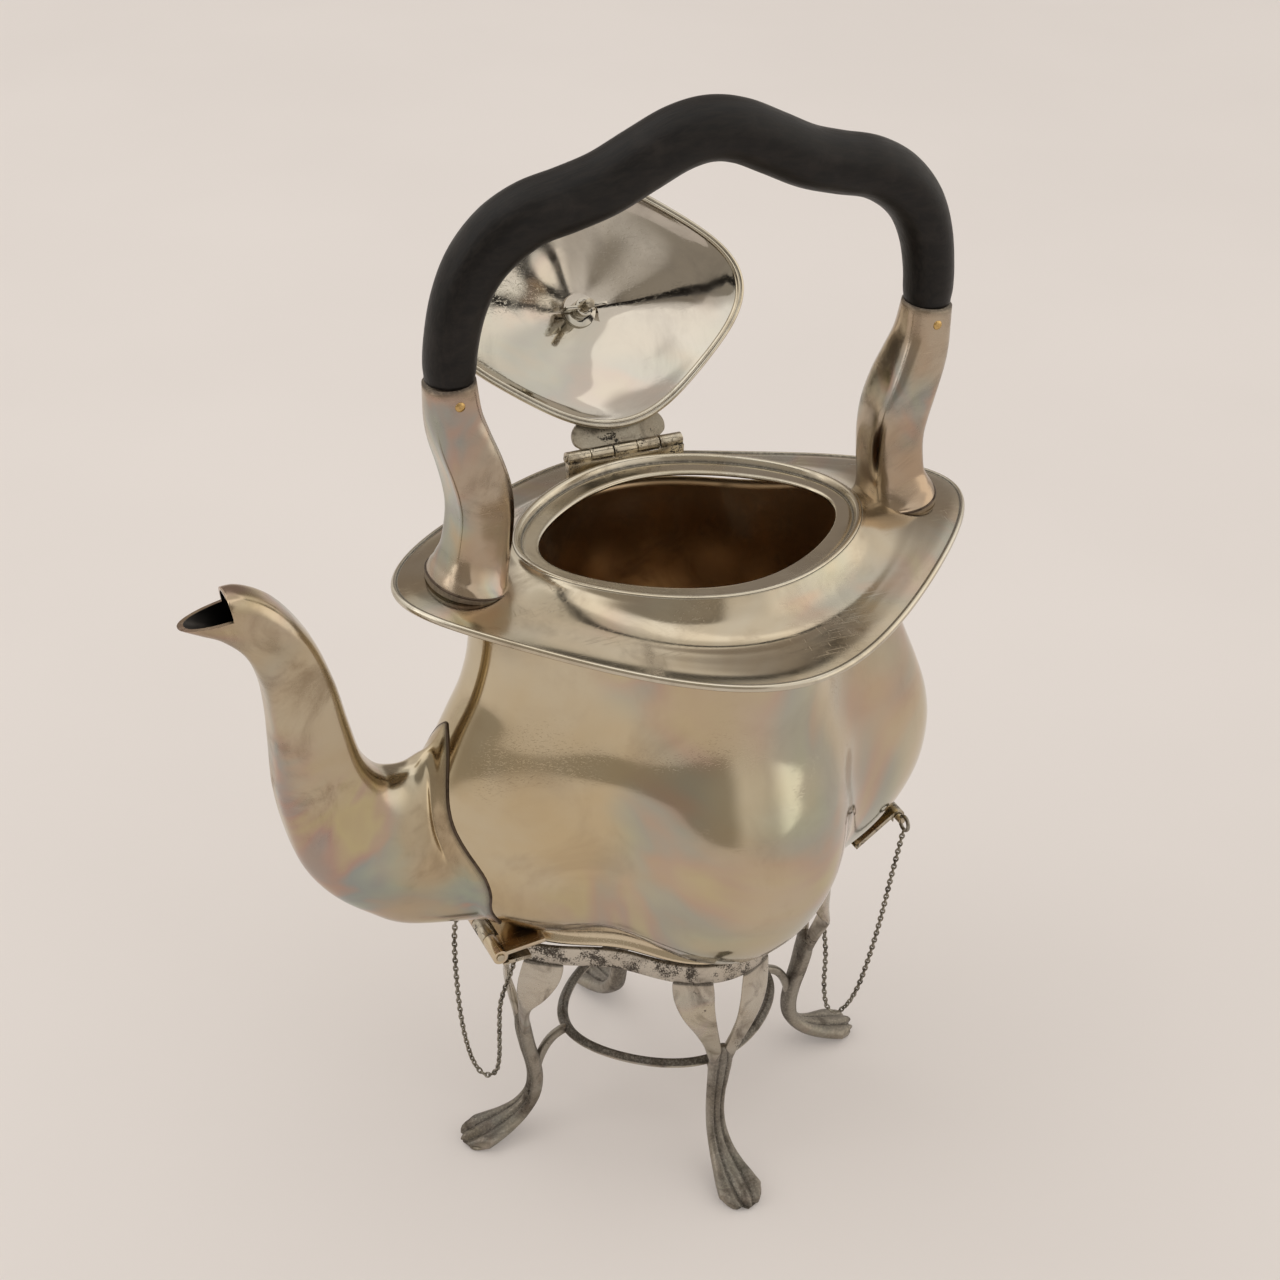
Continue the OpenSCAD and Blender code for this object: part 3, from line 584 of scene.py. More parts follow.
close_window(kettle_body)
dress(kettle_body, "body", "kettle", "tarnished_silver", "kettle_body")
kettle_body.data.materials.append(finishes["inside"])


def is_inner(index):
    return index >= BODY_ROWS * BODY_SIDES


for polygon in kettle_body.data.polygons:
    polygon.material_index = int(all(is_inner(v) for v in polygon.vertices))

# %% [markdown]
# The base closes the body below. It is a shallow dish, sprung in a little so that it does not drum.

# %% Kettle base
base_half = (BODY_HALF[0] * 0.55 - 1.8, BODY_HALF[1] * 0.63 - 1.8)
base_levels = [(share, 78 + 0.5 * (1 - share**2)) for share in np.linspace(0.04, 1, 14)]
base_levels = [(s, z) for s, z in base_levels] + [(s, z + SHEET) for s, z in base_levels[::-1]]
base_rings = [outline(base_half[0] * s, base_half[1] * s, 0.6, 0.10, z, sides=96) for s, z in base_levels]
kettle_base = stack("kettle_base_plate", base_rings)
dress(kettle_base, "inside", "kettle", "tarnished_silver", "kettle_base")

# %% [markdown]
# A gilt foot band is soldered under the body and sits in the stand. Its outside is a hollow curve
# between two flat edges. The stations go up the outside and down the inside.

# %% Foot band
FOOT_Z = 74.3
foot_out = through([(47.0, 35.4, 0.42, 0.088, 0.0, 0), (46.7, 35.2, 0.42, 0.088, 0.8, 0.05),
                    (44.9, 34.0, 0.46, 0.088, 2.2, 0.35), (44.6, 34.6, 0.62, 0.088, 3.7, 0.8),
                    (45.6, 36.4, 0.84, 0.092, 4.9, 1), (47.8, 39.6, 1.0, 0.10, 6.1, 1)], 24)
foot_in = through([(45.4, 37.2, 1.0, 0.10, 6.0, 1), (43.4, 34.0, 0.7, 0.09, 4.2, 0.9),
                   (43.0, 32.4, 0.45, 0.088, 2.0, 0.2), (43.4, 32.2, 0.42, 0.085, 0.0, 0)], 9)


def foot_ring(row):
    half_x, half_y, soft, sink, height, arch = row
    ring = outline(half_x, half_y, soft, sink, FOOT_Z + height)
    t = np.arange(len(ring)) * TURN / len(ring)
    ring[:, 2] += UNDER_LIFT * arch * (1 - np.cos(4 * t)) / 2
    return ring


foot_rings = [foot_ring(row) for row in np.vstack([foot_out, foot_in])]
foot_band = stack("gilt_foot_band", foot_rings, closed=True)
dress(foot_band, "gilt", "kettle", "gilded_silver", "foot_band")

# %% [markdown]
# The shoulder overhangs the body like a brim. It leaves the neck almost upright, turns out in a
# tight hollow and runs on nearly flat to the edge. A wire is soldered round that edge with a second,
# finer bead beside it, which reads as the double line along the lip.

# %% Shoulder and its edge wire
SHOULDER_HALF = (77.5, 61.0)
SHOULDER_Z = 186.0
DROOP = 7.0
SHOULDER_STATIONS = [
    (1, 1, 0.28, 0, 0), (0.955, 0.945, 0.3, 0.5, 0.03), (0.89, 0.88, 0.34, 0.8, 0.07),
    (0.82, 0.81, 0.4, 1.1, 0.11), (0.74, 0.74, 0.5, 1.5, 0.16), (0.67, 0.675, 0.56, 2.2, 0.44),
    (0.62, 0.635, 0.6, 3.2, 0.83), (0.6, 0.615, 0.6, 4.2, 1),
]
shoulder_rows = through(SHOULDER_STATIONS, 58)


def shoulder_ring(row, down):
    share_x, share_y, soft, rise, level = row
    return outline(SHOULDER_HALF[0] * share_x, SHOULDER_HALF[1] * share_y, soft, 0,
                   SHOULDER_Z + rise - down, DROOP * (1 - level), 224)


shoulder_under = [shoulder_ring(r, SHEET) for r in shoulder_rows[::-1]]
shoulder_rings = shoulder_under + [shoulder_ring(r, 0) for r in shoulder_rows]
shoulder = stack("kettle_shoulder", shoulder_rings, closed=True)
rise_share = np.concatenate([np.zeros(58), soft_step(shoulder_rows[:, 4], 0.97, 1.0) * 0.8])
grime_and_shade(shoulder, np.repeat(rise_share, 224))
dress(shoulder, "shoulder", "kettle", "tarnished_silver", "shoulder")


def edge_profile(turn):
    """The wire's section: a round bead with a finer one on its upper inner side."""
    return 1.0 + 0.16 * math.cos(turn - 0.9) - 0.34 * math.exp(-(((turn - 1.9) / 0.28) ** 2))


edge_rings = []
edge_dirt = []
for turn in np.arange(28) * TURN / 28:
    size = edge_profile(turn)
    edge_rings.append(outline(SHOULDER_HALF[0] + size * math.cos(turn),
                              SHOULDER_HALF[1] + size * math.cos(turn),
                              0.28, 0, SHOULDER_Z - SHEET / 2 + size * math.sin(turn), DROOP, 224))
    edge_dirt.append(math.exp(-(((turn - 1.9) / 0.3) ** 2)) + 0.8 * math.exp(-(((turn - 4.3) / 0.7) ** 2)))
shoulder_edge = stack("shoulder_edge_wire", edge_rings, closed=True)
grime_and_shade(shoulder_edge, np.repeat(edge_dirt, 224))
dress(shoulder_edge, "rim", "kettle", "tarnished_silver", "shoulder_edge")

# %% [markdown]
# The neck rim is a thick ring with a rounded outer bead, a dirt-catching groove and a ledge that
# the lid sits on. Its section is a short list of turned corners, softened by the same smooth line.

# %% Neck rim
RIM_Z = 190.5
rim_section = [
    (46.6, 37.6, 0.6, -4.2), (46.7, 37.7, 0.6, -2.2), (46.7, 37.7, 0.6, -0.9), (46.3, 37.3, 0.6, -0.15),
    (45.6, 36.6, 0.6, 0.05), (44.9, 35.9, 0.6, -0.3), (44.5, 35.4, 0.6, -1.1), (44.2, 34.9, 0.59, -1.75),
    (43.4, 33.9, 0.58, -1.65), (41.8, 31.6, 0.54, -1.75), (40.6, 30.1, 0.51, -1.85),
    (40.1, 29.5, 0.5, -2.3),
    (40.4, 29.8, 0.5, -2.95), (42.5, 32.6, 0.56, -3.0), (44.4, 35.0, 0.6, -3.2), (44.8, 35.6, 0.6, -4.2),
]
rim_rows = through(rim_section, 66)
rim_rings = [outline(a, b, s, 0, RIM_Z + z, sides=224) for a, b, s, z in rim_rows]
neck_rim = stack("neck_rim_ring", rim_rings, closed=True)
place = np.linspace(0, len(rim_section) - 1, 66)
rim_dirt = 0.95 * np.exp(-(((place - 6.7) / 0.55) ** 2)) + 0.9 * soft_step(place, 12.2, 13)
grime_and_shade(neck_rim, np.repeat(rim_dirt, 224))
dress(neck_rim, "rim", "kettle", "tarnished_silver", "neck_rim")

# %% [markdown]
# The spout grows out of the front lobe. A round tube would look wrong: it is a squarish tube with
# soft ridges, deep and narrow at its root and drawn out to a beak. Each station gives its lower and
# upper edge in the kettle's middle plane, its half width, how square it is and how far its top is
# drawn in. The root is not cut by a plane either: the sheet spreads over the lobe like a tulip
# petal, and its rim is soldered down. So the last rings are laid on the body's own surface, found
# from the same outline formula.

# %% Finding the body's surface
def body_front(y, z):
    """How far forward the body's surface lies at one place across and one height."""
    row = [np.interp(z, body_rows[:, 3], body_rows[:, k]) for k in range(4)]
    ring = body_ring(row, 0, 720)
    front = ring[ring[:, 0] < 0]
    order = np.argsort(front[:, 1])
    return float(np.interp(y, front[order, 1], front[order, 0]))


# %% [markdown]
# The outside runs from the beak down to the petal's rim and the inside runs back up, so the sheet has a
# real wall and the tube stays hollow. Faces past the rim belong to the inside and take a near-black finish,
# painted shade in the hollow.

# %% Spout
SPOUT_STATIONS = [
    (-132.6, 190.2, -131.0, 192.6, 1.9, 2.3, 0), (-130.2, 188.8, -127.2, 194.6, 3.5, 2.4, 0),
    (-126.4, 187.0, -121.6, 196.4, 4.9, 2.6, 0), (-121.6, 184.6, -115.4, 196.2, 5.8, 3.0, 0),
    (-116.4, 179.2, -107.4, 190.9, 6.6, 3.3, 0), (-112.9, 170.0, -100.2, 180.6, 7.3, 3.4, 0),
    (-111.6, 160.0, -95.6, 168.5, 7.9, 3.4, 0), (-111.3, 149.0, -92.5, 156.0, 8.4, 3.3, 0),
    (-111.0, 137.5, -89.8, 146.0, 8.8, 3.2, 0), (-109.2, 126.0, -86.8, 140.2, 9.3, 3.0, 0.04),
    (-105.6, 114.0, -83.4, 136.8, 10.0, 2.8, 0.12), (-99.0, 103.6, -79.8, 136.0, 10.9, 2.6, 0.24),
    (-90.0, 95.0, -76.4, 136.6, 12.2, 2.4, 0.38), (-79.0, 87.6, -73.4, 138.6, 13.6, 2.25, 0.5),
]
SPOUT_SIDES = 96
SPOUT_RINGS = 124
SPOUT_WALL = 0.9
spout_turn = (np.arange(SPOUT_SIDES) + 0.5) * TURN / SPOUT_SIDES


def spout_ring(row, wall):
    low_x, low_z, top_x, top_z, half_width, square, drawn_in = row
    c, s = np.cos(spout_turn), np.sin(spout_turn)
    reach = (np.abs(c)**square + np.abs(s)**square) ** (-1 / square)
    middle = np.array([(low_x + top_x) / 2, 0, (low_z + top_z) / 2])
    depth = np.array([low_x - top_x, 0, low_z - top_z]) / 2
    size = np.linalg.norm(depth)
    depth = depth / size
    narrow = 1 - drawn_in * np.clip(-s * reach, 0, 1) - 0.5 * drawn_in * np.clip(s * reach, 0, 1)
    across = np.outer(c * reach * narrow * (half_width - wall), (0, 1, 0))
    return middle + across + np.outer(s * reach * (size - wall), depth)


# The petal's rim: half width and height from the cusp on the ridge down to the foot
PETAL = [(0, 146.5), (3.0, 143.6), (6.0, 138.6), (8.6, 132.0), (11.6, 124.0), (15.0, 116.4), (17.4, 109.0),
         (17.4, 102.6), (15.4, 96.4), (13.2, 90.8), (10.2, 86.4), (5.8, 83.8), (0, 83.0)]


def petal_ring(share, lift):
    """A ring on the body's surface: the petal's rim drawn in to a share of its size."""
    half = through(PETAL, SPOUT_SIDES // 2 + 1)
    between = (half[1:] + half[:-1]) / 2
    # The tube's points start at +Y and turn down, round by -Y and over the top
    right = between[SPOUT_SIDES // 4:]
    left = between[::-1] * (-1, 1)
    top = between[:SPOUT_SIDES // 4]
    plan = np.vstack([right, left, top])
    # It is drawn in towards a low place at the foot and a higher one at the cusp
    middle = np.stack([0 * plan[:, 1], 96 + 17 * soft_step(plan[:, 1], 95, 135)], 1)
    plan = middle + (plan - middle) * share
    return np.array([(body_front(y, z) - lift, y, z) for y, z in plan])


def spout_skin(wall, petals):
    stations = [spout_ring(r, wall).ravel() for r in SPOUT_STATIONS] + [p.ravel() for p in petals]
    return through(stations, SPOUT_RINGS).reshape(SPOUT_RINGS, SPOUT_SIDES, 3)


outer = spout_skin(0, [petal_ring(0.84, 1.7), petal_ring(0.94, 1.0), petal_ring(1.0, 0.55)])
rim_down = petal_ring(1.0, -0.4)[None]
inner_petals = [petal_ring(0.78, 0.6), petal_ring(0.86, -0.1), petal_ring(0.9, -0.7)]
inner = spout_skin(SPOUT_WALL, inner_petals)[::-1]
spout = stack("spout_tube", np.vstack([outer, rim_down, inner]), closed=True)
print("spout rings:", len(outer), "outside and", len(inner), "inside")
spout.data.materials.append(finishes["spout"])
spout.data.materials.append(finishes["soot_and_shade"])
first_inner = (len(outer) + 1) * SPOUT_SIDES
for polygon in spout.data.polygons:
    polygon.material_index = int(min(polygon.vertices) >= first_inner)

# %% [markdown]
# The beak is cut open along its top, square across at the back of the cut and level along the
# sides. A saw cut is a boolean: a turned box takes the top away, and what is left is the scoop.

# %% Cutting the beak
def saw(piece, corner, size, turn):
    """Takes a box away from a piece; corner is the box's lower rear edge, in millimetres."""
    box = bmesh.new()
    bmesh.ops.create_cube(box, size=1.0)
    shift = Matrix.Translation((-0.5, 0, 0.5))
    matrix = Matrix.Translation(Vector(corner) * MM) @ Matrix.Rotation(turn, 4, "Y") @ Matrix.Diagonal(
        (*(v * MM for v in size), 1)) @ shift
    bmesh.ops.transform(box, matrix=matrix, verts=box.verts)
    mesh = bpy.data.meshes.new("saw_box")
    box.to_mesh(mesh)
    box.free()
    cutter = bpy.data.objects.new("saw_box", mesh)
    scene.collection.objects.link(cutter)
    cut = piece.modifiers.new("cut", "BOOLEAN")
    cut.operation = "DIFFERENCE"
    cut.solver = "EXACT"
    cut.object = cutter
    result = evaluated_mesh(piece)
    piece.modifiers.clear()
    piece.data = result
    bpy.data.objects.remove(cutter)


saw(spout, (-119.2, 0, 191.2), (30, 20, 14), math.radians(-9))
points = np.array([v.co for v in spout.data.vertices]) / MM
near_root = (points[:, 0] > -85) & (points[:, 0] < -50) & (points[:, 2] > 80)
root = np.array([abs(body_front(y, z) - x) for x, y, z in points[near_root]])
darkening = np.zeros(len(points))
darkening[near_root] = 1 - soft_step(root, 0.3, 0.9)
grime_and_shade(spout, darkening)
dress(spout, "spout", "kettle", "tarnished_silver", "spout")


def seam_line(name, path, away, thickness, body):
    """A fine closed bead of blackened solder along a path; away points off the surface."""
    path = np.asarray(path, float)
    forward = unit(np.roll(path, -1, 0) - np.roll(path, 1, 0))
    sideways = unit(np.cross(forward, away))
    turns = np.arange(8) * TURN / 8
    rings = [path + thickness * (math.cos(a) * sideways + math.sin(a) * np.asarray(away, float))
             for a in turns]
    line = stack(name, rings, closed=True)
    dress(line, "seam", body, "tarnished_silver")


seam_line("spout_seam", petal_ring(1.0, 0.2), (-1, 0, 0), 0.36, "kettle")

# %% [markdown]
# Two cast sockets carry the handle. Their section is a rounded box that narrows at the waist and
# then spreads into an oval shoe, where a dark line of solder and dirt runs round. One function
# sweeps a section along a bent path, and it serves sockets, grip, legs and stretcher alike.

# %% Sweeping a section along a path
def sweep(path, sections, side):
    """Rings of a section along a path. sections[i, j] is (along side, outward) in millimetres."""
    path = np.asarray(path, float)
    forward = unit(np.gradient(path, axis=0))
    outward = unit(np.cross(forward, side))
    across = np.cross(outward, forward)
    return path[:, None] + across[:, None] * sections[:, :, :1] + outward[:, None] * sections[:, :, 1:]


def boxy(half_width, half_depth, square, sides):
    """Sections between an oval (square 2) and a box, one for each row of the sizes."""
    t = (np.arange(sides) + 0.5) * TURN / sides
    c, s = np.cos(t), np.sin(t)
    square = np.broadcast_to(square, np.shape(half_width))[:, None]
    reach = (np.abs(c)**square + np.abs(s)**square) ** (-1 / square)
    return np.stack([np.outer(half_width, c) * reach, np.outer(half_depth, s) * reach], 2)


# %% [markdown]
# Each station gives where the section stands, how high, its half size across and along the kettle,
# and how square it is. One function makes both sockets, and a mirror turns one into the other.

# %% Handle sockets
SOCKET_STATIONS = [
    (59.8, 186.4, 12.6, 10.2, 2.1), (59.7, 187.4, 12.5, 10.1, 2.1), (59.5, 188.4, 11.6, 9.6, 2.2),
    (59.0, 190.2, 9.7, 8.6, 2.7), (58.0, 193.8, 8.0, 7.6, 3.6), (56.9, 199.5, 7.3, 7.1, 4.2),
    (56.5, 206, 7.4, 7.0, 4.4), (57.2, 212, 7.8, 7.0, 4.4), (59.0, 218.5, 7.9, 6.8, 4.2),
    (61.3, 225, 7.2, 6.6, 3.8), (63.1, 231.5, 6.5, 6.4, 3.0), (63.9, 240, 6.2, 6.2, 2.2),
]
SOCKET_SIDES = 64
FOLD_TURNS = (228, 312)
FOLD_WIDTH = 0.16
socket_rows = through(SOCKET_STATIONS, 88)


def make_socket(name, mirror, node):
    sections = boxy(socket_rows[:, 2], socket_rows[:, 3], socket_rows[:, 4], SOCKET_SIDES)
    # A sharp fold runs up the face that looks at the mouth
    t = (np.arange(SOCKET_SIDES) + 0.5) * TURN / SOCKET_SIDES
    fold = sum(np.exp(-(((t - math.radians(turn)) / FOLD_WIDTH) ** 2)) for turn in FOLD_TURNS)
    lift = 0.55 * soft_step(socket_rows[:, 1], 192, 200) * (1 - soft_step(socket_rows[:, 1], 226, 236))
    sections[:, :, 1] -= lift[:, None] * fold
    path = np.stack([socket_rows[:, 0], 0 * socket_rows[:, 0], socket_rows[:, 1]], 1)
    rings = sweep(path, sections, (0, 1, 0)) * (mirror, 1, 1)
    socket = stack(name, rings)
    seam = 0.6 * (1 - soft_step(socket_rows[:, 1], 187.3, 188.0))
    joint = 0.8 * soft_step(socket_rows[:, 1], 238.4, 239.8)
    grime_and_shade(socket, np.repeat(np.maximum(seam, joint), SOCKET_SIDES))
    dress(socket, "socket", "kettle", "tarnished_silver", node)
    shoe = rings[np.argmin(np.abs(socket_rows[:, 1] - 187.5))]
    seam_line(name + "_seam", shoe, (0, 0, 1), 0.3, "kettle")


make_socket("front_handle_socket_cast", -1, "front_handle_socket")
make_socket("rear_handle_socket_cast", 1, "rear_handle_socket")

# %% [markdown]
# The grip bridges the two sockets in a long cupid's bow. Half of its line is given and the other half is
# its mirror image. It swells towards the middle and is cut square where it enters the silver, with the edge
# just broken.

# %% Grip
GRIP_HALF = [(0, 291.8), (8, 290.4), (17, 286.4), (26, 282.2), (35, 279.6), (44, 277.4),
             (51.5, 273.2), (57.5, 266.8), (61.3, 258.5), (63.3, 249), (63.9, 240)]
grip_line = np.array([(-x, z) for x, z in GRIP_HALF[:0:-1]] + GRIP_HALF)
GRIP_RINGS = 190
grip_line = through(grip_line, GRIP_RINGS)
height_share = np.clip(((grip_line[:, 1] - 240) / 34) ** 2, 0, 1)
from_end = np.minimum(np.arange(GRIP_RINGS), np.arange(GRIP_RINGS)[::-1]) / 2.5
grip_radius = 6.15 + 1.25 * height_share - 0.45 * np.exp(-from_end**2)
grip_path = np.stack([grip_line[:, 0], 0 * grip_line[:, 0], grip_line[:, 1]], 1)
grip_sections = boxy(grip_radius, grip_radius, 2.15, 56)
grip = stack("grip_of_black_wood", sweep(grip_path, grip_sections, (0, 1, 0)))
dress(grip, "wood", "kettle", "black_wood", "handle_grip")

# %% [markdown]
# The lid is a thin domed sheet of the same diamond plan with four soft lobes, and it stands open
# here with its bright inside towards us. It is built closed, where its shape is easy to think
# about, and then turned about the hinge by the angle at which it stands open.

# %% Lid
HINGE_Y = 39.7
HINGE_Z = 192.0
LID_OPEN = math.radians(-125)
LID_HALF = (44.0, 34.0)
LID_SEAT = 189.0
DOME = 13.0


def opened(points):
    """Turns points of the closed lid to where it stands open."""
    points = np.asarray(points, float)
    y, z = points[..., 1] - HINGE_Y, points[..., 2] - HINGE_Z
    c, s = math.cos(LID_OPEN), math.sin(LID_OPEN)
    return np.stack([points[..., 0], HINGE_Y + y * c - z * s, HINGE_Z + y * s + z * c], -1)


LID_STATIONS = [(1, 0.05), (0.965, 0.07), (0.93, 0.12), (0.88, 0.22), (0.8, 0.36), (0.7, 0.49),
                (0.58, 0.62),
                (0.44, 0.76), (0.28, 0.90), (0.14, 0.98), (0.04, 1)]
lid_rows = through(LID_STATIONS, 60)


def lid_ring(row, down):
    share, rise = row
    swell = 0.35 * math.sin(math.pi * min(1, share)) ** 2
    t = np.arange(192) * TURN / 192
    ring = outline(LID_HALF[0] * share, LID_HALF[1] * share, 0.45 + 1.5 * (1 - share), 0.02 * share,
                   LID_SEAT + 1 + DOME * rise - down)
    # Four lobes along the axes with shallow valleys between them
    ring[:, 2] -= 3.4 * swell * (1 - np.cos(4 * t)) / 2
    return ring


lid_rings = [lid_ring(r, SHEET) for r in lid_rows[::-1]] + [lid_ring(r, 0) for r in lid_rows]
lid_shell = stack("lid_shell_sheet", opened(lid_rings), closed=True)
dress(lid_shell, "lid", "lid", "bright_silver", "lid_shell")

# %% [markdown]
# The bezel stiffens the lid's edge: two fine beads side by side, closed into one ring. The groove
# between them holds a line of dirt.

# %% Lid bezel
BEZEL_SIDES = 224
GROOVE_WIDTH = 0.22
bezel_rings = []
bezel_dirt = []
for turn in np.arange(40) * TURN / 40:
    # Two beads side by side with a fine groove between them
    reach = 1.25 * abs(math.cos(turn)) ** 0.8 * math.copysign(1, math.cos(turn))
    rise = 0.75 * abs(math.sin(turn)) ** 0.9 * math.copysign(1, math.sin(turn))
    groove = 0.42 * math.exp(-((reach / GROOVE_WIDTH) ** 2)) * math.copysign(1, rise)
    bezel_rings.append(outline(LID_HALF[0] - 0.85 + reach, LID_HALF[1] - 0.85 + reach, 0.45, 0.02,
                               LID_SEAT + 1 + rise - groove, sides=BEZEL_SIDES))
    bezel_dirt.append(0.75 * math.exp(-((reach / GROOVE_WIDTH) ** 2)))
lid_bezel = stack("lid_bezel_ring", opened(bezel_rings), closed=True)
grime_and_shade(lid_bezel, np.repeat(bezel_dirt, BEZEL_SIDES))
dress(lid_bezel, "rim", "lid", "bright_silver", "lid_bezel")

# %% [markdown]
# The stand's band is a plain hoop of heavy sheet bent to the same diamond, with its front and rear
# corners flattened square for the hinges. Its edges are only just broken, so the section has small
# chamfers.

# %% Stand band
BAND = (47.5, 36.0, 68.0, 6.0)
BAND_SIDES = 288


def band_ring(inset, z):
    ring = outline(BAND[0] + 3 - inset, BAND[1] - inset, 0.42, 0.09, z, sides=BAND_SIDES)
    ring[:, 0] = np.clip(ring[:, 0], -(BAND[0] - inset), BAND[0] - inset)
    return ring


BREAK = 0.3
band_levels = [(0, BREAK), (0, BAND[3] - BREAK), (BREAK * 0.4, BAND[3] - BREAK * 0.35), (BREAK, BAND[3]),
               (2 - BREAK, BAND[3]), (2, BAND[3] - BREAK), (2, BREAK), (2 - BREAK, 0), (BREAK, 0),
               (BREAK * 0.4, BREAK * 0.35)]
stand_band = stack("stand_band_hoop", [band_ring(i, BAND[2] + z) for i, z in band_levels], closed=True)
band_dirt = [0.25, 0.15, 0.4, 0.8, 0.9, 0.7, 0.6, 0.5, 0.4, 0.3]
grime_and_shade(stand_band, np.repeat(band_dirt, BAND_SIDES))
dress(stand_band, "band", "stand", "stand_silver", "stand_band")

# %% [markdown]
# The legs are castings: two flat spade-topped branches run together into a fluted stem, which turns
# out into a paw with three toes. The stem's section carries two grooves whose depth grows towards
# the paw, so the toes are the same grooves driven deeper and rounded off at the front. The
# branches are thin sheets, broad at the band and narrow at the crotch.

# %% Legs
LEG_LONG = [(45.3, 43.2, 1.3, 1.0), (45.3, 41.4, 2.9, 1.7), (44.9, 37, 3.5, 2.1), (43.8, 31, 3.1, 2.2),
            (42.2, 24.5, 2.7, 2.2),
            (41.3, 18, 2.6, 2.2), (42.2, 12.2, 2.9, 2.1), (45.6, 7.6, 3.6, 2.1), (50, 4.9, 4.7, 2.3),
            (54.4, 3.4, 5.9, 2.4), (58.2, 2.5, 6.6, 2.3), (61.0, 2.0, 6.1, 1.9)]
BRANCH = [(0.9, -0.2, 36, 1.7, 1.4), (2.2, 0.3, 41, 2.1, 1.3), (4.1, 1.2, 47, 2.4, 1.1),
          (6.3, 1.6, 53, 3.3, 0.9),
          (8.3, 1.2, 58.6, 4.7, 0.85), (9.2, 0.7, 63, 5.5, 0.85), (9.5, 0.3, 66.4, 5.6, 0.85),
          (9.5, 0.1, 68.4, 5.4, 0.85)]
STEM_ROWS = 92
STEM_SIDES = 72


def stem_rings(foot_in, top_in):
    """The stem; its foot and its top stand nearer the middle by the two amounts."""
    rows = through(LEG_LONG, STEM_ROWS)
    shorter = foot_in + (top_in - foot_in) * soft_step(rows[:, 1], 8, 38)
    path = np.stack([rows[:, 0] - shorter, 0 * rows[:, 0], rows[:, 1]], 1)
    sections = boxy(rows[:, 2], rows[:, 3], 2.4, STEM_SIDES)
    share = np.linspace(0, 1, STEM_ROWS)[:, None]
    across = sections[:, :, 0] / rows[:, 2][:, None]
    outside = np.clip(sections[:, :, 1] / rows[:, 3][:, None], -1, 1)
    toes = soft_step(share, 0.72, 0.97)
    spread_out = 0.36 - 0.04 * toes
    groove = sum(np.exp(-(((across - s * spread_out) / 0.13) ** 2)) for s in (-1, 1))
    depth = (0.30 + 0.25 * toes) * soft_step(share, 0.04, 0.22)
    sections[:, :, 1] -= rows[:, 3][:, None] * depth * groove * soft_step(outside, 0.0, 0.5)
    rings = sweep(path, sections, (0, 1, 0))
    # Each toe runs a little further forward than the groove beside it
    forward = 1.3 * np.cos(across * math.pi * 1.45) ** 2 - 2.2 * across**2
    rings[:, :, 0] += forward * soft_step(share, 0.86, 1.0)
    last = rings[-1]
    middle = last.mean(0)
    rounded = []
    for size, ahead in ((0.90, 0.75), (0.66, 1.35), (0.30, 1.65)):
        ring = last.copy()
        ring[:, 2] = middle[2] + (ring[:, 2] - middle[2]) * size - 0.25 * ahead
        ring[:, 1] *= 0.5 + 0.5 * size
        ring[:, 0] += ahead
        rounded.append(ring)
    rings = np.vstack([rings, rounded])
    rings[:, :, 2] = np.maximum(rings[:, :, 2], 0.02)
    darkening = np.vstack([groove * soft_step(outside, 0.0, 0.6), np.repeat(groove[-1:], 3, 0)])
    # Painted shade: the stem's inner side and the paw's underside are darkened
    painted_inner_shade = 0.75 * (1 - soft_step(sections[:, :, 1] / rows[:, 3][:, None], -0.9, 0.1))
    darkening[:STEM_ROWS] = np.maximum(darkening[:STEM_ROWS], painted_inner_shade)
    darkening = np.maximum(darkening, 0.68 - 0.25 * soft_step(np.abs(np.vstack([across, across[-3:]])), 0.7, 1.0))
    return rings, darkening


def band_reach(offset, turn):
    """How far out the middle of the band's sheet is, at an offset to one side of a leg."""
    ring = band_ring(1, 0)[:, :2]
    along, outward = (ring[:, 0], ring[:, 1]) if round(math.sin(turn)) else (ring[:, 1], ring[:, 0])
    facing = outward > 0
    order = np.argsort(along[facing])
    return np.interp(offset, along[facing][order], outward[facing][order])


def branch_rings(top_in, side, turn):
    """One branch: it leaves the stem and comes to lie in the line of the band above."""
    rows = through(BRANCH, 54)
    meets = soft_step(rows[:, 2], 42, 67)
    outward = (45.2 - top_in) * (1 - meets) + band_reach(rows[:, 0], turn) * meets + rows[:, 1]
    path = np.stack([outward, side * rows[:, 0], rows[:, 2]], 1)
    slope = (band_reach(rows[:, 0] + 2, turn) - band_reach(rows[:, 0] - 2, turn)) / 4 * meets
    across = unit(np.stack([side * slope, np.ones(54), 0 * slope], 1))
    return sweep(path, boxy(rows[:, 3], rows[:, 4], 2.8, 40), across)


def join(name, parts):
    """One mesh from several closed stacks of rings, with its grime and painted shade: [(rings, darkening),
    ...].
    """
    points, faces, darkening = [], [], []
    for rings, values in parts:
        rows, columns = rings.shape[:2]
        first = sum(len(p) for p in points)
        faces += ring_faces(rows, columns, False, first)
        faces.append(tuple(first + j for j in range(columns))[::-1])
        faces.append(tuple(first + (rows - 1) * columns + j for j in range(columns)))
        points.append(rings.reshape(-1, 3))
        darkening.append(np.asarray(values, float).ravel())
    piece = new_piece(name, np.vstack(points), faces)
    grime_and_shade(piece, np.concatenate(darkening))
    return piece


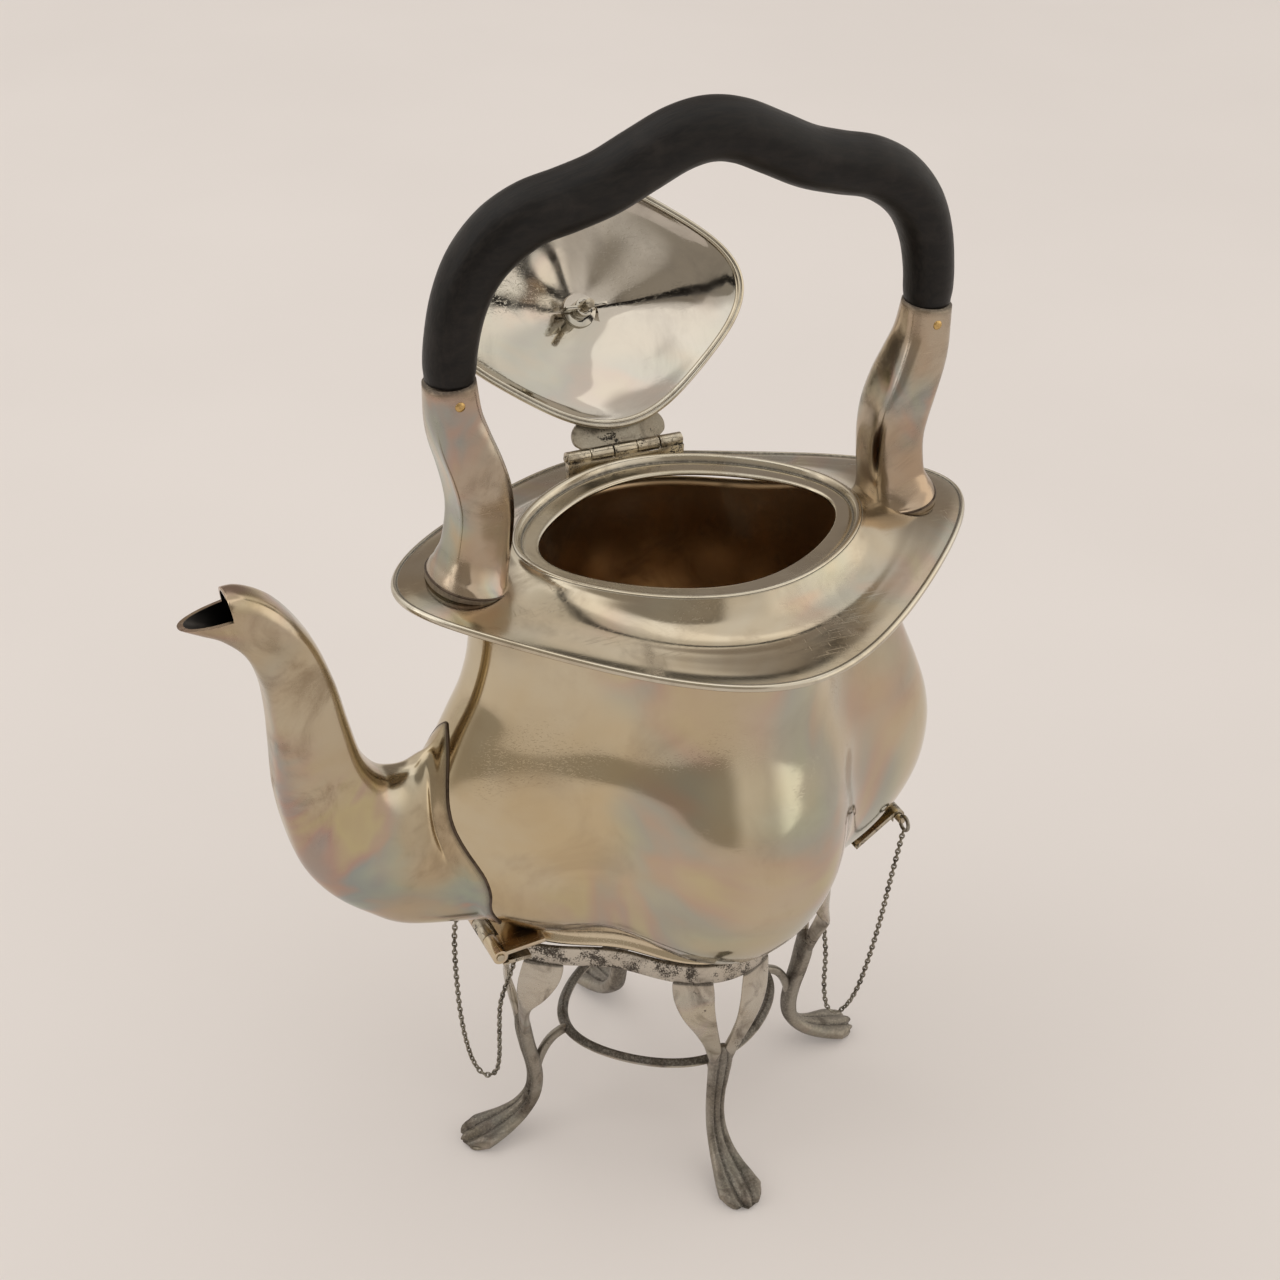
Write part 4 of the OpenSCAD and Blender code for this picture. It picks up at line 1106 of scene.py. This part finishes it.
def make_leg(name, node, turn, foot_in, top_in):
    parts = [stem_rings(foot_in, top_in)]
    for side in (-1, 1):
        rings = branch_rings(top_in, side, turn)
        height = rings[:, :, 2]
        worn = np.maximum(0.75 * (1 - soft_step(height, 36, 46)), 0.22 * (1 - soft_step(height, 46, 60)))
        parts.append((rings, np.maximum(worn, 0.8 * soft_step(height, 67.3, 68))))
    c, s = round(math.cos(turn)), round(math.sin(turn))
    quarter = np.array([(c, -s, 0), (s, c, 0), (0, 0, 1)], float)
    leg = join(name, [(rings @ quarter.T, darkening) for rings, darkening in parts])
    dress(leg, "stand", "stand", "stand_silver", node)


for name, turn, foot_in, top_in in (("rear_leg", 0, 0, 0), ("far_leg", TURN / 4, 8.0, 11.2),
                                    ("front_leg", TURN / 2, 0, 0), ("near_leg", -TURN / 4, 8.0, 11.2)):
    make_leg(name + "_casting", name, turn, foot_in, top_in)

# %% [markdown]
# A square wire ties the four legs together half way up, with a short spur that curves down into each stem.
# The ring's section is a diamond set on its edge; its upper faces carry painted shade, so it shows a dark
# face above and a bright one below.

# %% Stretcher
STRETCHER = (31.4, 27.6, 33.0)
wire = [(1.65 * math.cos(a), 1.65 * math.sin(a)) for a in np.arange(24) * TURN / 24]
squared = [(x / (abs(x) + abs(y)) ** 0.55 * 1.3, y / (abs(x) + abs(y)) ** 0.55 * 1.3) for x, y in wire]
ring_parts = [outline(STRETCHER[0] + x, STRETCHER[1] + x, 0.55, 0, STRETCHER[2] + z, sides=160) for x,
              z in squared]
stretcher = stack("stretcher_wire", ring_parts, closed=True)
# Painted shade on the upper faces, over a light grime on all faces
painted_top_shade = [0.8 * (z > 0.3) + 0.1 for x, z in squared]
grime_and_shade(stretcher, np.repeat(painted_top_shade, 160))
dress(stretcher, "stand", "stand", "stand_silver", "stretcher_ring")

SPUR = [(0, 0), (1.8, -0.3), (4.4, -1.8), (6.6, -4.6), (8.2, -8.2), (9.2, -12)]
spur_rows = through(SPUR, 26)
spur_parts = []
for turn, start, end in ((0, 31.4, 41.0), (TURN / 4, 27.6, 31.4), (TURN / 2, 31.4, 41.0),
                         (-TURN / 4, 27.6, 31.4)):
    reach = start + spur_rows[:, 0] * (end - start) / SPUR[-1][0]
    path = np.stack([reach, 0 * reach, STRETCHER[2] + spur_rows[:, 1]], 1)
    rings = sweep(path, boxy(np.full(26, 1.25), np.full(26, 1.3), 2.6, 28), (0, 1, 0))
    c, s = round(math.cos(turn)), round(math.sin(turn))
    quarter = np.array([(c, -s, 0), (s, c, 0), (0, 0, 1)], float)
    spur_parts.append((rings @ quarter.T, np.full(rings.shape[:2], 0.45)))
spurs = join("stretcher_spurs", spur_parts)
dress(spurs, "stand", "stand", "stand_silver")

# %% [markdown]
# Hinge leaves, knuckles, pins and fittings already have their true shape in the frame, because they
# have to fit. What they lack is the worn edge that catches the light. A copy of each mesh is
# merged, its flat areas are freed of stray triangles, and a small bevel rounds what is left.

# %% Breaking the edges of fitted parts
def worn_copy(node, name, bevel, finish, body, slot, trim=1.0):
    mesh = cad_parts[node].data.copy()
    mesh.materials.clear()
    work = bmesh.new()
    work.from_mesh(mesh)
    bmesh.ops.remove_doubles(work, verts=work.verts, dist=2e-6)
    bmesh.ops.dissolve_limit(work, angle_limit=math.radians(3), verts=work.verts, edges=work.edges)
    middle = sum((v.co for v in work.verts), Vector()) / len(work.verts)
    bmesh.ops.transform(work, matrix=Matrix.Translation(middle) @ Matrix.Diagonal((1, trim, trim, 1))
                        @ Matrix.Translation(-middle), verts=work.verts)
    work.to_mesh(mesh)
    work.free()
    mesh.name = name
    piece = bpy.data.objects.new(name, mesh)
    scene.collection.objects.link(piece)
    if bevel:
        soften = piece.modifiers.new("worn_edge", "BEVEL")
        soften.width = bevel * MM
        soften.segments = 2
        soften.limit_method = "ANGLE"
        soften.angle_limit = math.radians(38)
        piece.data = evaluated_mesh(piece)
        piece.modifiers.clear()
    work = bmesh.new()
    work.from_mesh(piece.data)
    for face in work.faces:
        face.smooth = True
    for edge in work.edges:
        if len(edge.link_faces) == 2 and edge.calc_face_angle(0) > math.radians(32):
            edge.smooth = False
    work.to_mesh(piece.data)
    work.free()
    return dress(piece, finish, body, slot, node)


for node, bevel, finish, body, slot in (
    ("body_hinge_leaf", 0.12, "hinge", "kettle", "hinge_silver"),
    ("kettle_front_leaf", 0.15, "gilt", "kettle", "gilded_silver"),
    ("kettle_rear_leaf", 0.15, "hinge", "kettle", "hinge_silver"),
    ("stand_front_leaf", 0.15, "hinge", "stand", "hinge_silver"),
    ("lid_hinge_pin", 0.12, "hinge", "kettle", "hinge_silver"),
    ("front_pin", 0.2, "hinge", "front_pin", "hinge_silver"),
    ("rear_pin", 0.2, "hinge", "rear_pin", "hinge_silver"),
    ("finial_wing_nut", 0.15, "lid", "lid", "bright_silver"),
    ("finial_washer", 0.1, "lid", "lid", "bright_silver"),
    ("finial_bolt", 0.2, "hinge", "lid", "hinge_silver"),
    ("spout_strainer", 0, "inside", "kettle", "bright_silver"),
):
    worn_copy(node, node + "_worn", bevel, finish, body, slot, 0.45 if node == "spout_strainer" else 1.0)

for node, finish in (("finial_knob", "lid"), ("front_chain_staple", "chain"),
                     ("rear_chain_staple", "chain"),
                     ("front_pin_ring", "chain"), ("rear_pin_ring", "chain"), ("stand_rear_leaf", "hinge")):
    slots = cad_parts[node].material_slots
    for slot in slots:
        slot.material = finishes[finish]
    print(node, "keeps its shape and takes", finish)

# %% [markdown]
# The lid's leaf is a winged plate: it springs from the barrel, curves out to both sides and is
# soldered flat under the lid's edge. Its outline is half drawn and mirrored, and then given
# thickness. The two knuckles are hollow and run on the pin.

# %% Lid hinge leaf
WING = [(11.6, -2.0), (13.1, -3.4), (13.3, -5.8), (12.0, -8.0), (9.2, -9.7), (4.6, -10.8), (0, -11.1)]
wing_line = through(WING, 30)
wing_edge = [(x, y) for x, y in wing_line] + [(-x, y) for x, y in wing_line[-2::-1]]
KNUCKLE = 2 * 16.8 / 5
notch = [(KNUCKLE / 2 + 0.3, -1.95), (KNUCKLE / 2 + 0.3, -1.2), (KNUCKLE * 1.5 - 0.1, -1.2),
         (KNUCKLE * 1.5 - 0.1, -2.0)]
wing_edge += [(-x, y) for x, y in notch[::-1]] + notch
rows = []
for level, inset in ((0.55, 0.15), (0.7, 0.0), (1.7, 0.0), (1.85, 0.15)):
    rows.append([(x * (1 - inset / 12), HINGE_Y + y * (1 - inset / 12), HINGE_Z + level) for x,
                 y in wing_edge])
lid_leaf = stack("lid_hinge_wing", opened(rows))
lid_leaf.data.polygons.foreach_set("use_smooth", [False] * len(lid_leaf.data.polygons))
# Painted shade: an even value darkens the whole wing
grime_and_shade(lid_leaf, np.full(len(lid_leaf.data.vertices), 0.4))
dress(lid_leaf, "hinge", "lid", "hinge_silver", "lid_hinge_leaf")
knuckle_parts = []
for first in (-KNUCKLE * 1.5, KNUCKLE * 0.5):
    turn = np.arange(40) * TURN / 40
    section = [(0.87, 0), (1.6, 0), (1.8, 0.2), (1.8, KNUCKLE - 0.5), (1.6, KNUCKLE - 0.3),
               (0.87, KNUCKLE - 0.3)]
    for radius, along in section:
        ring = np.stack([np.full(40, first + 0.15 + along), HINGE_Y + radius * np.cos(turn),
                         HINGE_Z + radius * np.sin(turn)], 1)
        knuckle_parts.append(ring)
half = len(knuckle_parts) // 2
for label, rings in (("front", knuckle_parts[:half]), ("rear", knuckle_parts[half:])):
    knuckle = stack(f"lid_{label}_knuckle", opened(rings), closed=True)
    knuckle.data.polygons.foreach_set("use_smooth", [False] * len(knuckle.data.polygons))
    dress(knuckle, "hinge", "lid", "hinge_silver")

# %% [markdown]
# Each drop pin hangs on a fine cable chain so that it can't be lost. A chain is the clearest case
# for Geometry Nodes: the route is resampled at the pitch of the links, a small wire link is put at
# each point and turned along the route, and every second link is rolled by a quarter turn. The
# tree ends in real geometry, because instances would be lost when the model leaves Blender.

# %% The chain tree
def make_chain_tree():
    tree = bpy.data.node_groups.new("cable_chain", "GeometryNodeTree")
    tree.interface.new_socket("Geometry", in_out="INPUT", socket_type="NodeSocketGeometry")
    for label, default in (("Pitch", 1.42 * MM), ("Link Length", 2.5 * MM), ("Link Width", 1.75 * MM),
                           ("Wire", 0.27 * MM)):
        tree.interface.new_socket(label, in_out="INPUT",
                                  socket_type="NodeSocketFloat").default_value = default
    tree.interface.new_socket("Finish", in_out="INPUT", socket_type="NodeSocketMaterial")
    tree.interface.new_socket("Geometry", in_out="OUTPUT", socket_type="NodeSocketGeometry")
    given = tree.nodes.new("NodeGroupInput").outputs
    out = tree.nodes.new("NodeGroupOutput").inputs
    link = tree.links.new

    # One link: a ring drawn out along X and given a round wire
    circle = tree.nodes.new("GeometryNodeCurvePrimitiveCircle")
    circle.inputs["Resolution"].default_value = 12
    circle.inputs["Radius"].default_value = 0.5
    shape = tree.nodes.new("ShaderNodeCombineXYZ")
    for axis, label in (("X", "Link Length"), ("Y", "Link Width"), ("Z", "Link Width")):
        less = maths(tree, "SUBTRACT", given[label], maths(tree, "MULTIPLY", given["Wire"], 2.0))
        link(less, shape.inputs[axis])
    drawn = tree.nodes.new("GeometryNodeTransform")
    link(circle.outputs[0], drawn.inputs["Geometry"])
    link(shape.outputs[0], drawn.inputs["Scale"])
    wire_round = tree.nodes.new("GeometryNodeCurvePrimitiveCircle")
    wire_round.inputs["Resolution"].default_value = 5
    link(given["Wire"], wire_round.inputs["Radius"])
    solid = tree.nodes.new("GeometryNodeCurveToMesh")
    link(drawn.outputs[0], solid.inputs["Curve"])
    link(wire_round.outputs[0], solid.inputs["Profile Curve"])

    # The links along the route
    spaced = tree.nodes.new("GeometryNodeResampleCurve")
    spaced.mode = "LENGTH"
    link(given["Geometry"], spaced.inputs["Curve"])
    link(given["Pitch"], spaced.inputs["Length"])
    along = tree.nodes.new("FunctionNodeAlignRotationToVector")
    along.axis = "X"
    link(tree.nodes.new("GeometryNodeInputTangent").outputs[0], along.inputs["Vector"])
    odd = maths(tree, "MODULO", tree.nodes.new("GeometryNodeInputIndex").outputs[0], 2.0)
    angles = tree.nodes.new("ShaderNodeCombineXYZ")
    link(maths(tree, "ADD", maths(tree, "MULTIPLY", odd, math.pi / 2), 0.6), angles.inputs["X"])
    to_turn = tree.nodes.new("FunctionNodeEulerToRotation")
    link(angles.outputs[0], to_turn.inputs[0])
    rolled = tree.nodes.new("FunctionNodeRotateRotation")
    rolled.rotation_space = "LOCAL"
    link(along.outputs[0], rolled.inputs[0])
    link(to_turn.outputs[0], rolled.inputs[1])
    placed_links = tree.nodes.new("GeometryNodeInstanceOnPoints")
    link(spaced.outputs[0], placed_links.inputs["Points"])
    link(solid.outputs[0], placed_links.inputs["Instance"])
    link(rolled.outputs[0], placed_links.inputs["Rotation"])
    real = tree.nodes.new("GeometryNodeRealizeInstances")
    link(placed_links.outputs[0], real.inputs[0])
    smooth = tree.nodes.new("GeometryNodeSetShadeSmooth")
    link(real.outputs[0], smooth.inputs[0])
    finish = tree.nodes.new("GeometryNodeSetMaterial")
    link(smooth.outputs[0], finish.inputs["Geometry"])
    link(given["Finish"], finish.inputs["Material"])
    link(finish.outputs[0], out[0])
    return tree


chain_tree = make_chain_tree()


def set_input(modifier, label, value):
    """Sets a named input of a Geometry Nodes modifier by its socket's identifier."""
    for item in modifier.node_group.interface.items_tree:
        if item.item_type == "SOCKET" and item.in_out == "INPUT" and item.name == label:
            modifier[item.identifier] = value


def curve_length(points):
    return float(np.linalg.norm(np.diff(points, axis=0), axis=1).sum())


def plain_mesh(obj, name):
    """The evaluated object as a plain mesh object, in place of the one with the modifier."""
    mesh = evaluated_mesh(obj)
    bpy.data.objects.remove(obj)
    piece = bpy.data.objects.new(name, mesh)
    scene.collection.objects.link(piece)
    return piece


# %% [markdown]
# Both routes hang between a pin and a staple on the stand, and the slack gives the sag.

# %% Two chains
FRONT_ROUTE = [(-57.4, 16.6, 72.6), (-58.8, 16.4, 65), (-59, 16, 55), (-58.7, 15.4, 45), (-58.2, 14.6, 36),
               (-57.4, 13.4, 28), (-56.2, 11.6, 21), (-54.6, 9.4, 17), (-52.8, 7.2, 16.4), (-51, 5.2, 19.4),
               (-50.6, 4, 26), (-50.8, 3.4, 35), (-50.6, 3, 46), (-48.6, 1.6, 56), (-46.8, 0.3, 64.4)]
REAR_ROUTE = [(64.6, -15.6, 84.6), (64, -14.8, 76), (63.2, -14, 66), (62.4, -13, 54), (61.4, -12, 43),
              (60.4, -11, 34), (59.2, -10, 26), (57.6, -8.6, 19), (55.6, -7, 14.6), (53.6, -5.6, 13.6),
              (51.9, -4.4, 16.4), (51, -3.6, 24), (50.8, -3, 36), (49.2, -1.8, 50), (46.8, -0.3, 64.4)]


def make_chain(name, route, node):
    fine = through(route, 220)
    data = bpy.data.curves.new(name, "CURVE")
    data.dimensions = "3D"
    spline = data.splines.new("POLY")
    spline.points.add(len(fine) - 1)
    for point, place in zip(spline.points, fine * MM):
        point.co = (*place, 1)
    path = bpy.data.objects.new(name + "_route", data)
    scene.collection.objects.link(path)
    links = path.modifiers.new("links", "NODES")
    links.node_group = chain_tree
    set_input(links, "Finish", finishes["chain"])
    chain = plain_mesh(path, name)
    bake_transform(chain)
    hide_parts(node)
    print(f"{name}: {curve_length(fine):.0f} mm long, {len(chain.data.polygons) // 60} links")


make_chain("front_pin_chain", FRONT_ROUTE, "front_chain")
make_chain("rear_pin_chain", REAR_ROUTE, "rear_chain")

# %% [markdown]
# Brass rivets hold the wood in its sockets. Each head is a low dome hammered over, so a rivet is
# turned from a short section. Both are the same, and a second small tree sets one at each end of
# the two holes.

# %% Rivets
def make_rivet_tree():
    tree = bpy.data.node_groups.new("domed_rivets", "GeometryNodeTree")
    tree.interface.new_socket("Geometry", in_out="INPUT", socket_type="NodeSocketGeometry")
    tree.interface.new_socket("Radius", in_out="INPUT",
                              socket_type="NodeSocketFloat").default_value = 1.25 * MM
    tree.interface.new_socket("Dome", in_out="INPUT",
                              socket_type="NodeSocketFloat").default_value = 0.5 * MM
    tree.interface.new_socket("Finish", in_out="INPUT", socket_type="NodeSocketMaterial")
    tree.interface.new_socket("Geometry", in_out="OUTPUT", socket_type="NodeSocketGeometry")
    given = tree.nodes.new("NodeGroupInput").outputs
    out = tree.nodes.new("NodeGroupOutput").inputs
    link = tree.links.new
    head = tree.nodes.new("GeometryNodeMeshUVSphere")
    head.inputs["Segments"].default_value = 24
    head.inputs["Rings"].default_value = 10
    head.inputs["Radius"].default_value = 1.0
    size = tree.nodes.new("ShaderNodeCombineXYZ")
    link(given["Radius"], size.inputs["X"])
    link(given["Dome"], size.inputs["Y"])
    link(given["Radius"], size.inputs["Z"])
    pressed = tree.nodes.new("GeometryNodeTransform")
    turn = tree.nodes.new("GeometryNodeTransform")
    turn.inputs["Rotation"].default_value = (math.pi / 2, 0, 0)
    link(head.outputs[0], turn.inputs["Geometry"])
    link(turn.outputs[0], pressed.inputs["Geometry"])
    link(size.outputs[0], pressed.inputs["Scale"])
    at = tree.nodes.new("GeometryNodeInstanceOnPoints")
    link(given["Geometry"], at.inputs["Points"])
    link(pressed.outputs[0], at.inputs["Instance"])
    real = tree.nodes.new("GeometryNodeRealizeInstances")
    link(at.outputs[0], real.inputs[0])
    smooth = tree.nodes.new("GeometryNodeSetShadeSmooth")
    link(real.outputs[0], smooth.inputs[0])
    finish = tree.nodes.new("GeometryNodeSetMaterial")
    link(smooth.outputs[0], finish.inputs["Geometry"])
    link(given["Finish"], finish.inputs["Material"])
    link(finish.outputs[0], out[0])
    return tree


rivet_tree = make_rivet_tree()
for label in ("front", "rear"):
    low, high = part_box(f"{label}_grip_rivet")
    x, z = (low.x + high.x) / 2, (low.z + high.z) / 2
    spots = bpy.data.meshes.new("rivet_spots")
    spots.from_pydata([(x, low.y + 0.05 * MM, z), (x, high.y - 0.05 * MM, z)], [], [])
    holder = bpy.data.objects.new("rivet_spots", spots)
    scene.collection.objects.link(holder)
    heads = holder.modifiers.new("heads", "NODES")
    heads.node_group = rivet_tree
    set_input(heads, "Finish", finishes["brass"])
    rivets = plain_mesh(holder, f"{label}_rivet_heads")
    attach(rivets, "kettle")
    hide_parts(f"{label}_grip_rivet")
    print(f"{label} rivets: {len(rivets.data.polygons)} faces")

# %% [markdown]
# The floor is one large pale sheet, as in a product studio. It isn't part of the object, so it is
# marked as the stage. The light comes from a broad panel overhead and the pale room itself. Polished
# silver shows only what surrounds it, so the room has a few soft darker areas for it to mirror.

# %% Floor, room and light
floor_mesh = bpy.data.meshes.new("studio_floor")
FLOOR = 3.0
floor_mesh.from_pydata([(-FLOOR, -FLOOR, 0), (FLOOR, -FLOOR, 0), (FLOOR, FLOOR, 0), (-FLOOR, FLOOR, 0)], [],
                       [(0, 1, 2, 3)])
floor = bpy.data.objects.new("studio_floor", floor_mesh)
scene.collection.objects.link(floor)
paint = bpy.data.materials.new("pale_paper")
paint.use_nodes = True
paint_shader = paint.node_tree.nodes["Principled BSDF"]
paint_shader.inputs["Roughness"].default_value = 0.75
paint_shader.inputs["Specular IOR Level"].default_value = 0.1
paint_shader.inputs["Emission Color"].default_value = (0.72, 0.67, 0.64, 1)
paint_shader.inputs["Emission Strength"].default_value = 0.25
paper_place = paint.node_tree.nodes.new("ShaderNodeTexCoord").outputs["Object"]
paper_cloud = spread(paint.node_tree, noise(paint.node_tree, paper_place, 4.0, 3.0), 0.3, 0.7)
paper = blend_colour(paint.node_tree, paper_cloud, (0.60, 0.565, 0.545, 1), (0.62, 0.585, 0.565, 1))
paint.node_tree.links.new(paper, paint_shader.inputs["Base Color"])
floor.data.materials.append(paint)
floor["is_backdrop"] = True


def panel(name, place, aim, size, power, colour=(1, 0.985, 0.96)):
    data = bpy.data.lights.new(name, "AREA")
    data.shape = "RECTANGLE"
    data.size, data.size_y = size
    data.energy = power
    data.color = colour
    light = bpy.data.objects.new(name, data)
    light.location = place
    light.rotation_mode = "QUATERNION"
    light.rotation_quaternion = (Vector(aim) - Vector(place)).to_track_quat("-Z", "Y")
    scene.collection.objects.link(light)


panel("overhead_panel", (-0.2, 0.3, 1.6), (0, 0, 0.1), (2.2, 1.8), 5.5)
panel("left_panel", (-1.5, 0.1, 0.9), (0, 0, 0.12), (0.8, 1.0), 2.4)


def make_room():
    """A pale room that is plain to the eye and softly uneven to a mirror."""
    world = bpy.data.worlds.new("pale_room")
    scene.world = world
    world.use_nodes = True
    tree = world.node_tree
    light = tree.nodes["Background"]
    direction = tree.nodes.new("ShaderNodeTexCoord").outputs["Generated"]
    parts = tree.nodes.new("ShaderNodeSeparateXYZ")
    tree.links.new(direction, parts.inputs[0])
    height = parts.outputs["Z"]
    sky = blend_colour(tree, spread(tree, height, -0.1, 0.75), (0.66, 0.61, 0.55, 1), (0.95, 0.91, 0.86, 1))

    def towards(colour, way, near, far, shade):
        """Darkens the room softly round one direction."""
        dot = tree.nodes.new("ShaderNodeVectorMath")
        dot.operation = "DOT_PRODUCT"
        tree.links.new(direction, dot.inputs[0])
        dot.inputs[1].default_value = Vector(way).normalized()
        return blend_colour(tree, spread(tree, dot.outputs["Value"], far, near), colour, shade)

    seen = towards(sky, back, 0.915, 0.88, (0.13, 0.11, 0.09, 1))
    seen = towards(seen, (-0.75, -0.75, 0.35), 0.82, 0.64, (0.37, 0.33, 0.28, 1))
    seen = towards(seen, (0.15, 0.30, 0.94), 0.975, 0.93, (0.36, 0.33, 0.29, 1))
    seen = towards(seen, (0.93, -0.35, 0.1), 0.92, 0.70, (1.32, 1.24, 1.12, 1))
    seen = towards(seen, (0.35, 0.9, 0.5), 0.95, 0.84, (0.30, 0.26, 0.23, 1))
    tree.links.new(seen, light.inputs["Color"])
    light.inputs["Strength"].default_value = 1.04
    plain = tree.nodes.new("ShaderNodeBackground")
    plain.inputs["Color"].default_value = (0.72, 0.67, 0.635, 1)
    choose = tree.nodes.new("ShaderNodeMixShader")
    tree.links.new(tree.nodes.new("ShaderNodeLightPath").outputs["Is Camera Ray"], choose.inputs[0])
    tree.links.new(light.outputs[0], choose.inputs[1])
    tree.links.new(plain.outputs[0], choose.inputs[2])
    tree.links.new(choose.outputs[0], tree.nodes["World Output"].inputs["Surface"])


make_room()
scene.view_settings.view_transform = "Standard"

# %% [markdown]
# The box of the finished model is measured and printed.

# %% Sizes
low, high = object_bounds()
print("visual box, mm:", [round(v / MM, 1) for v in (*low, *high)])
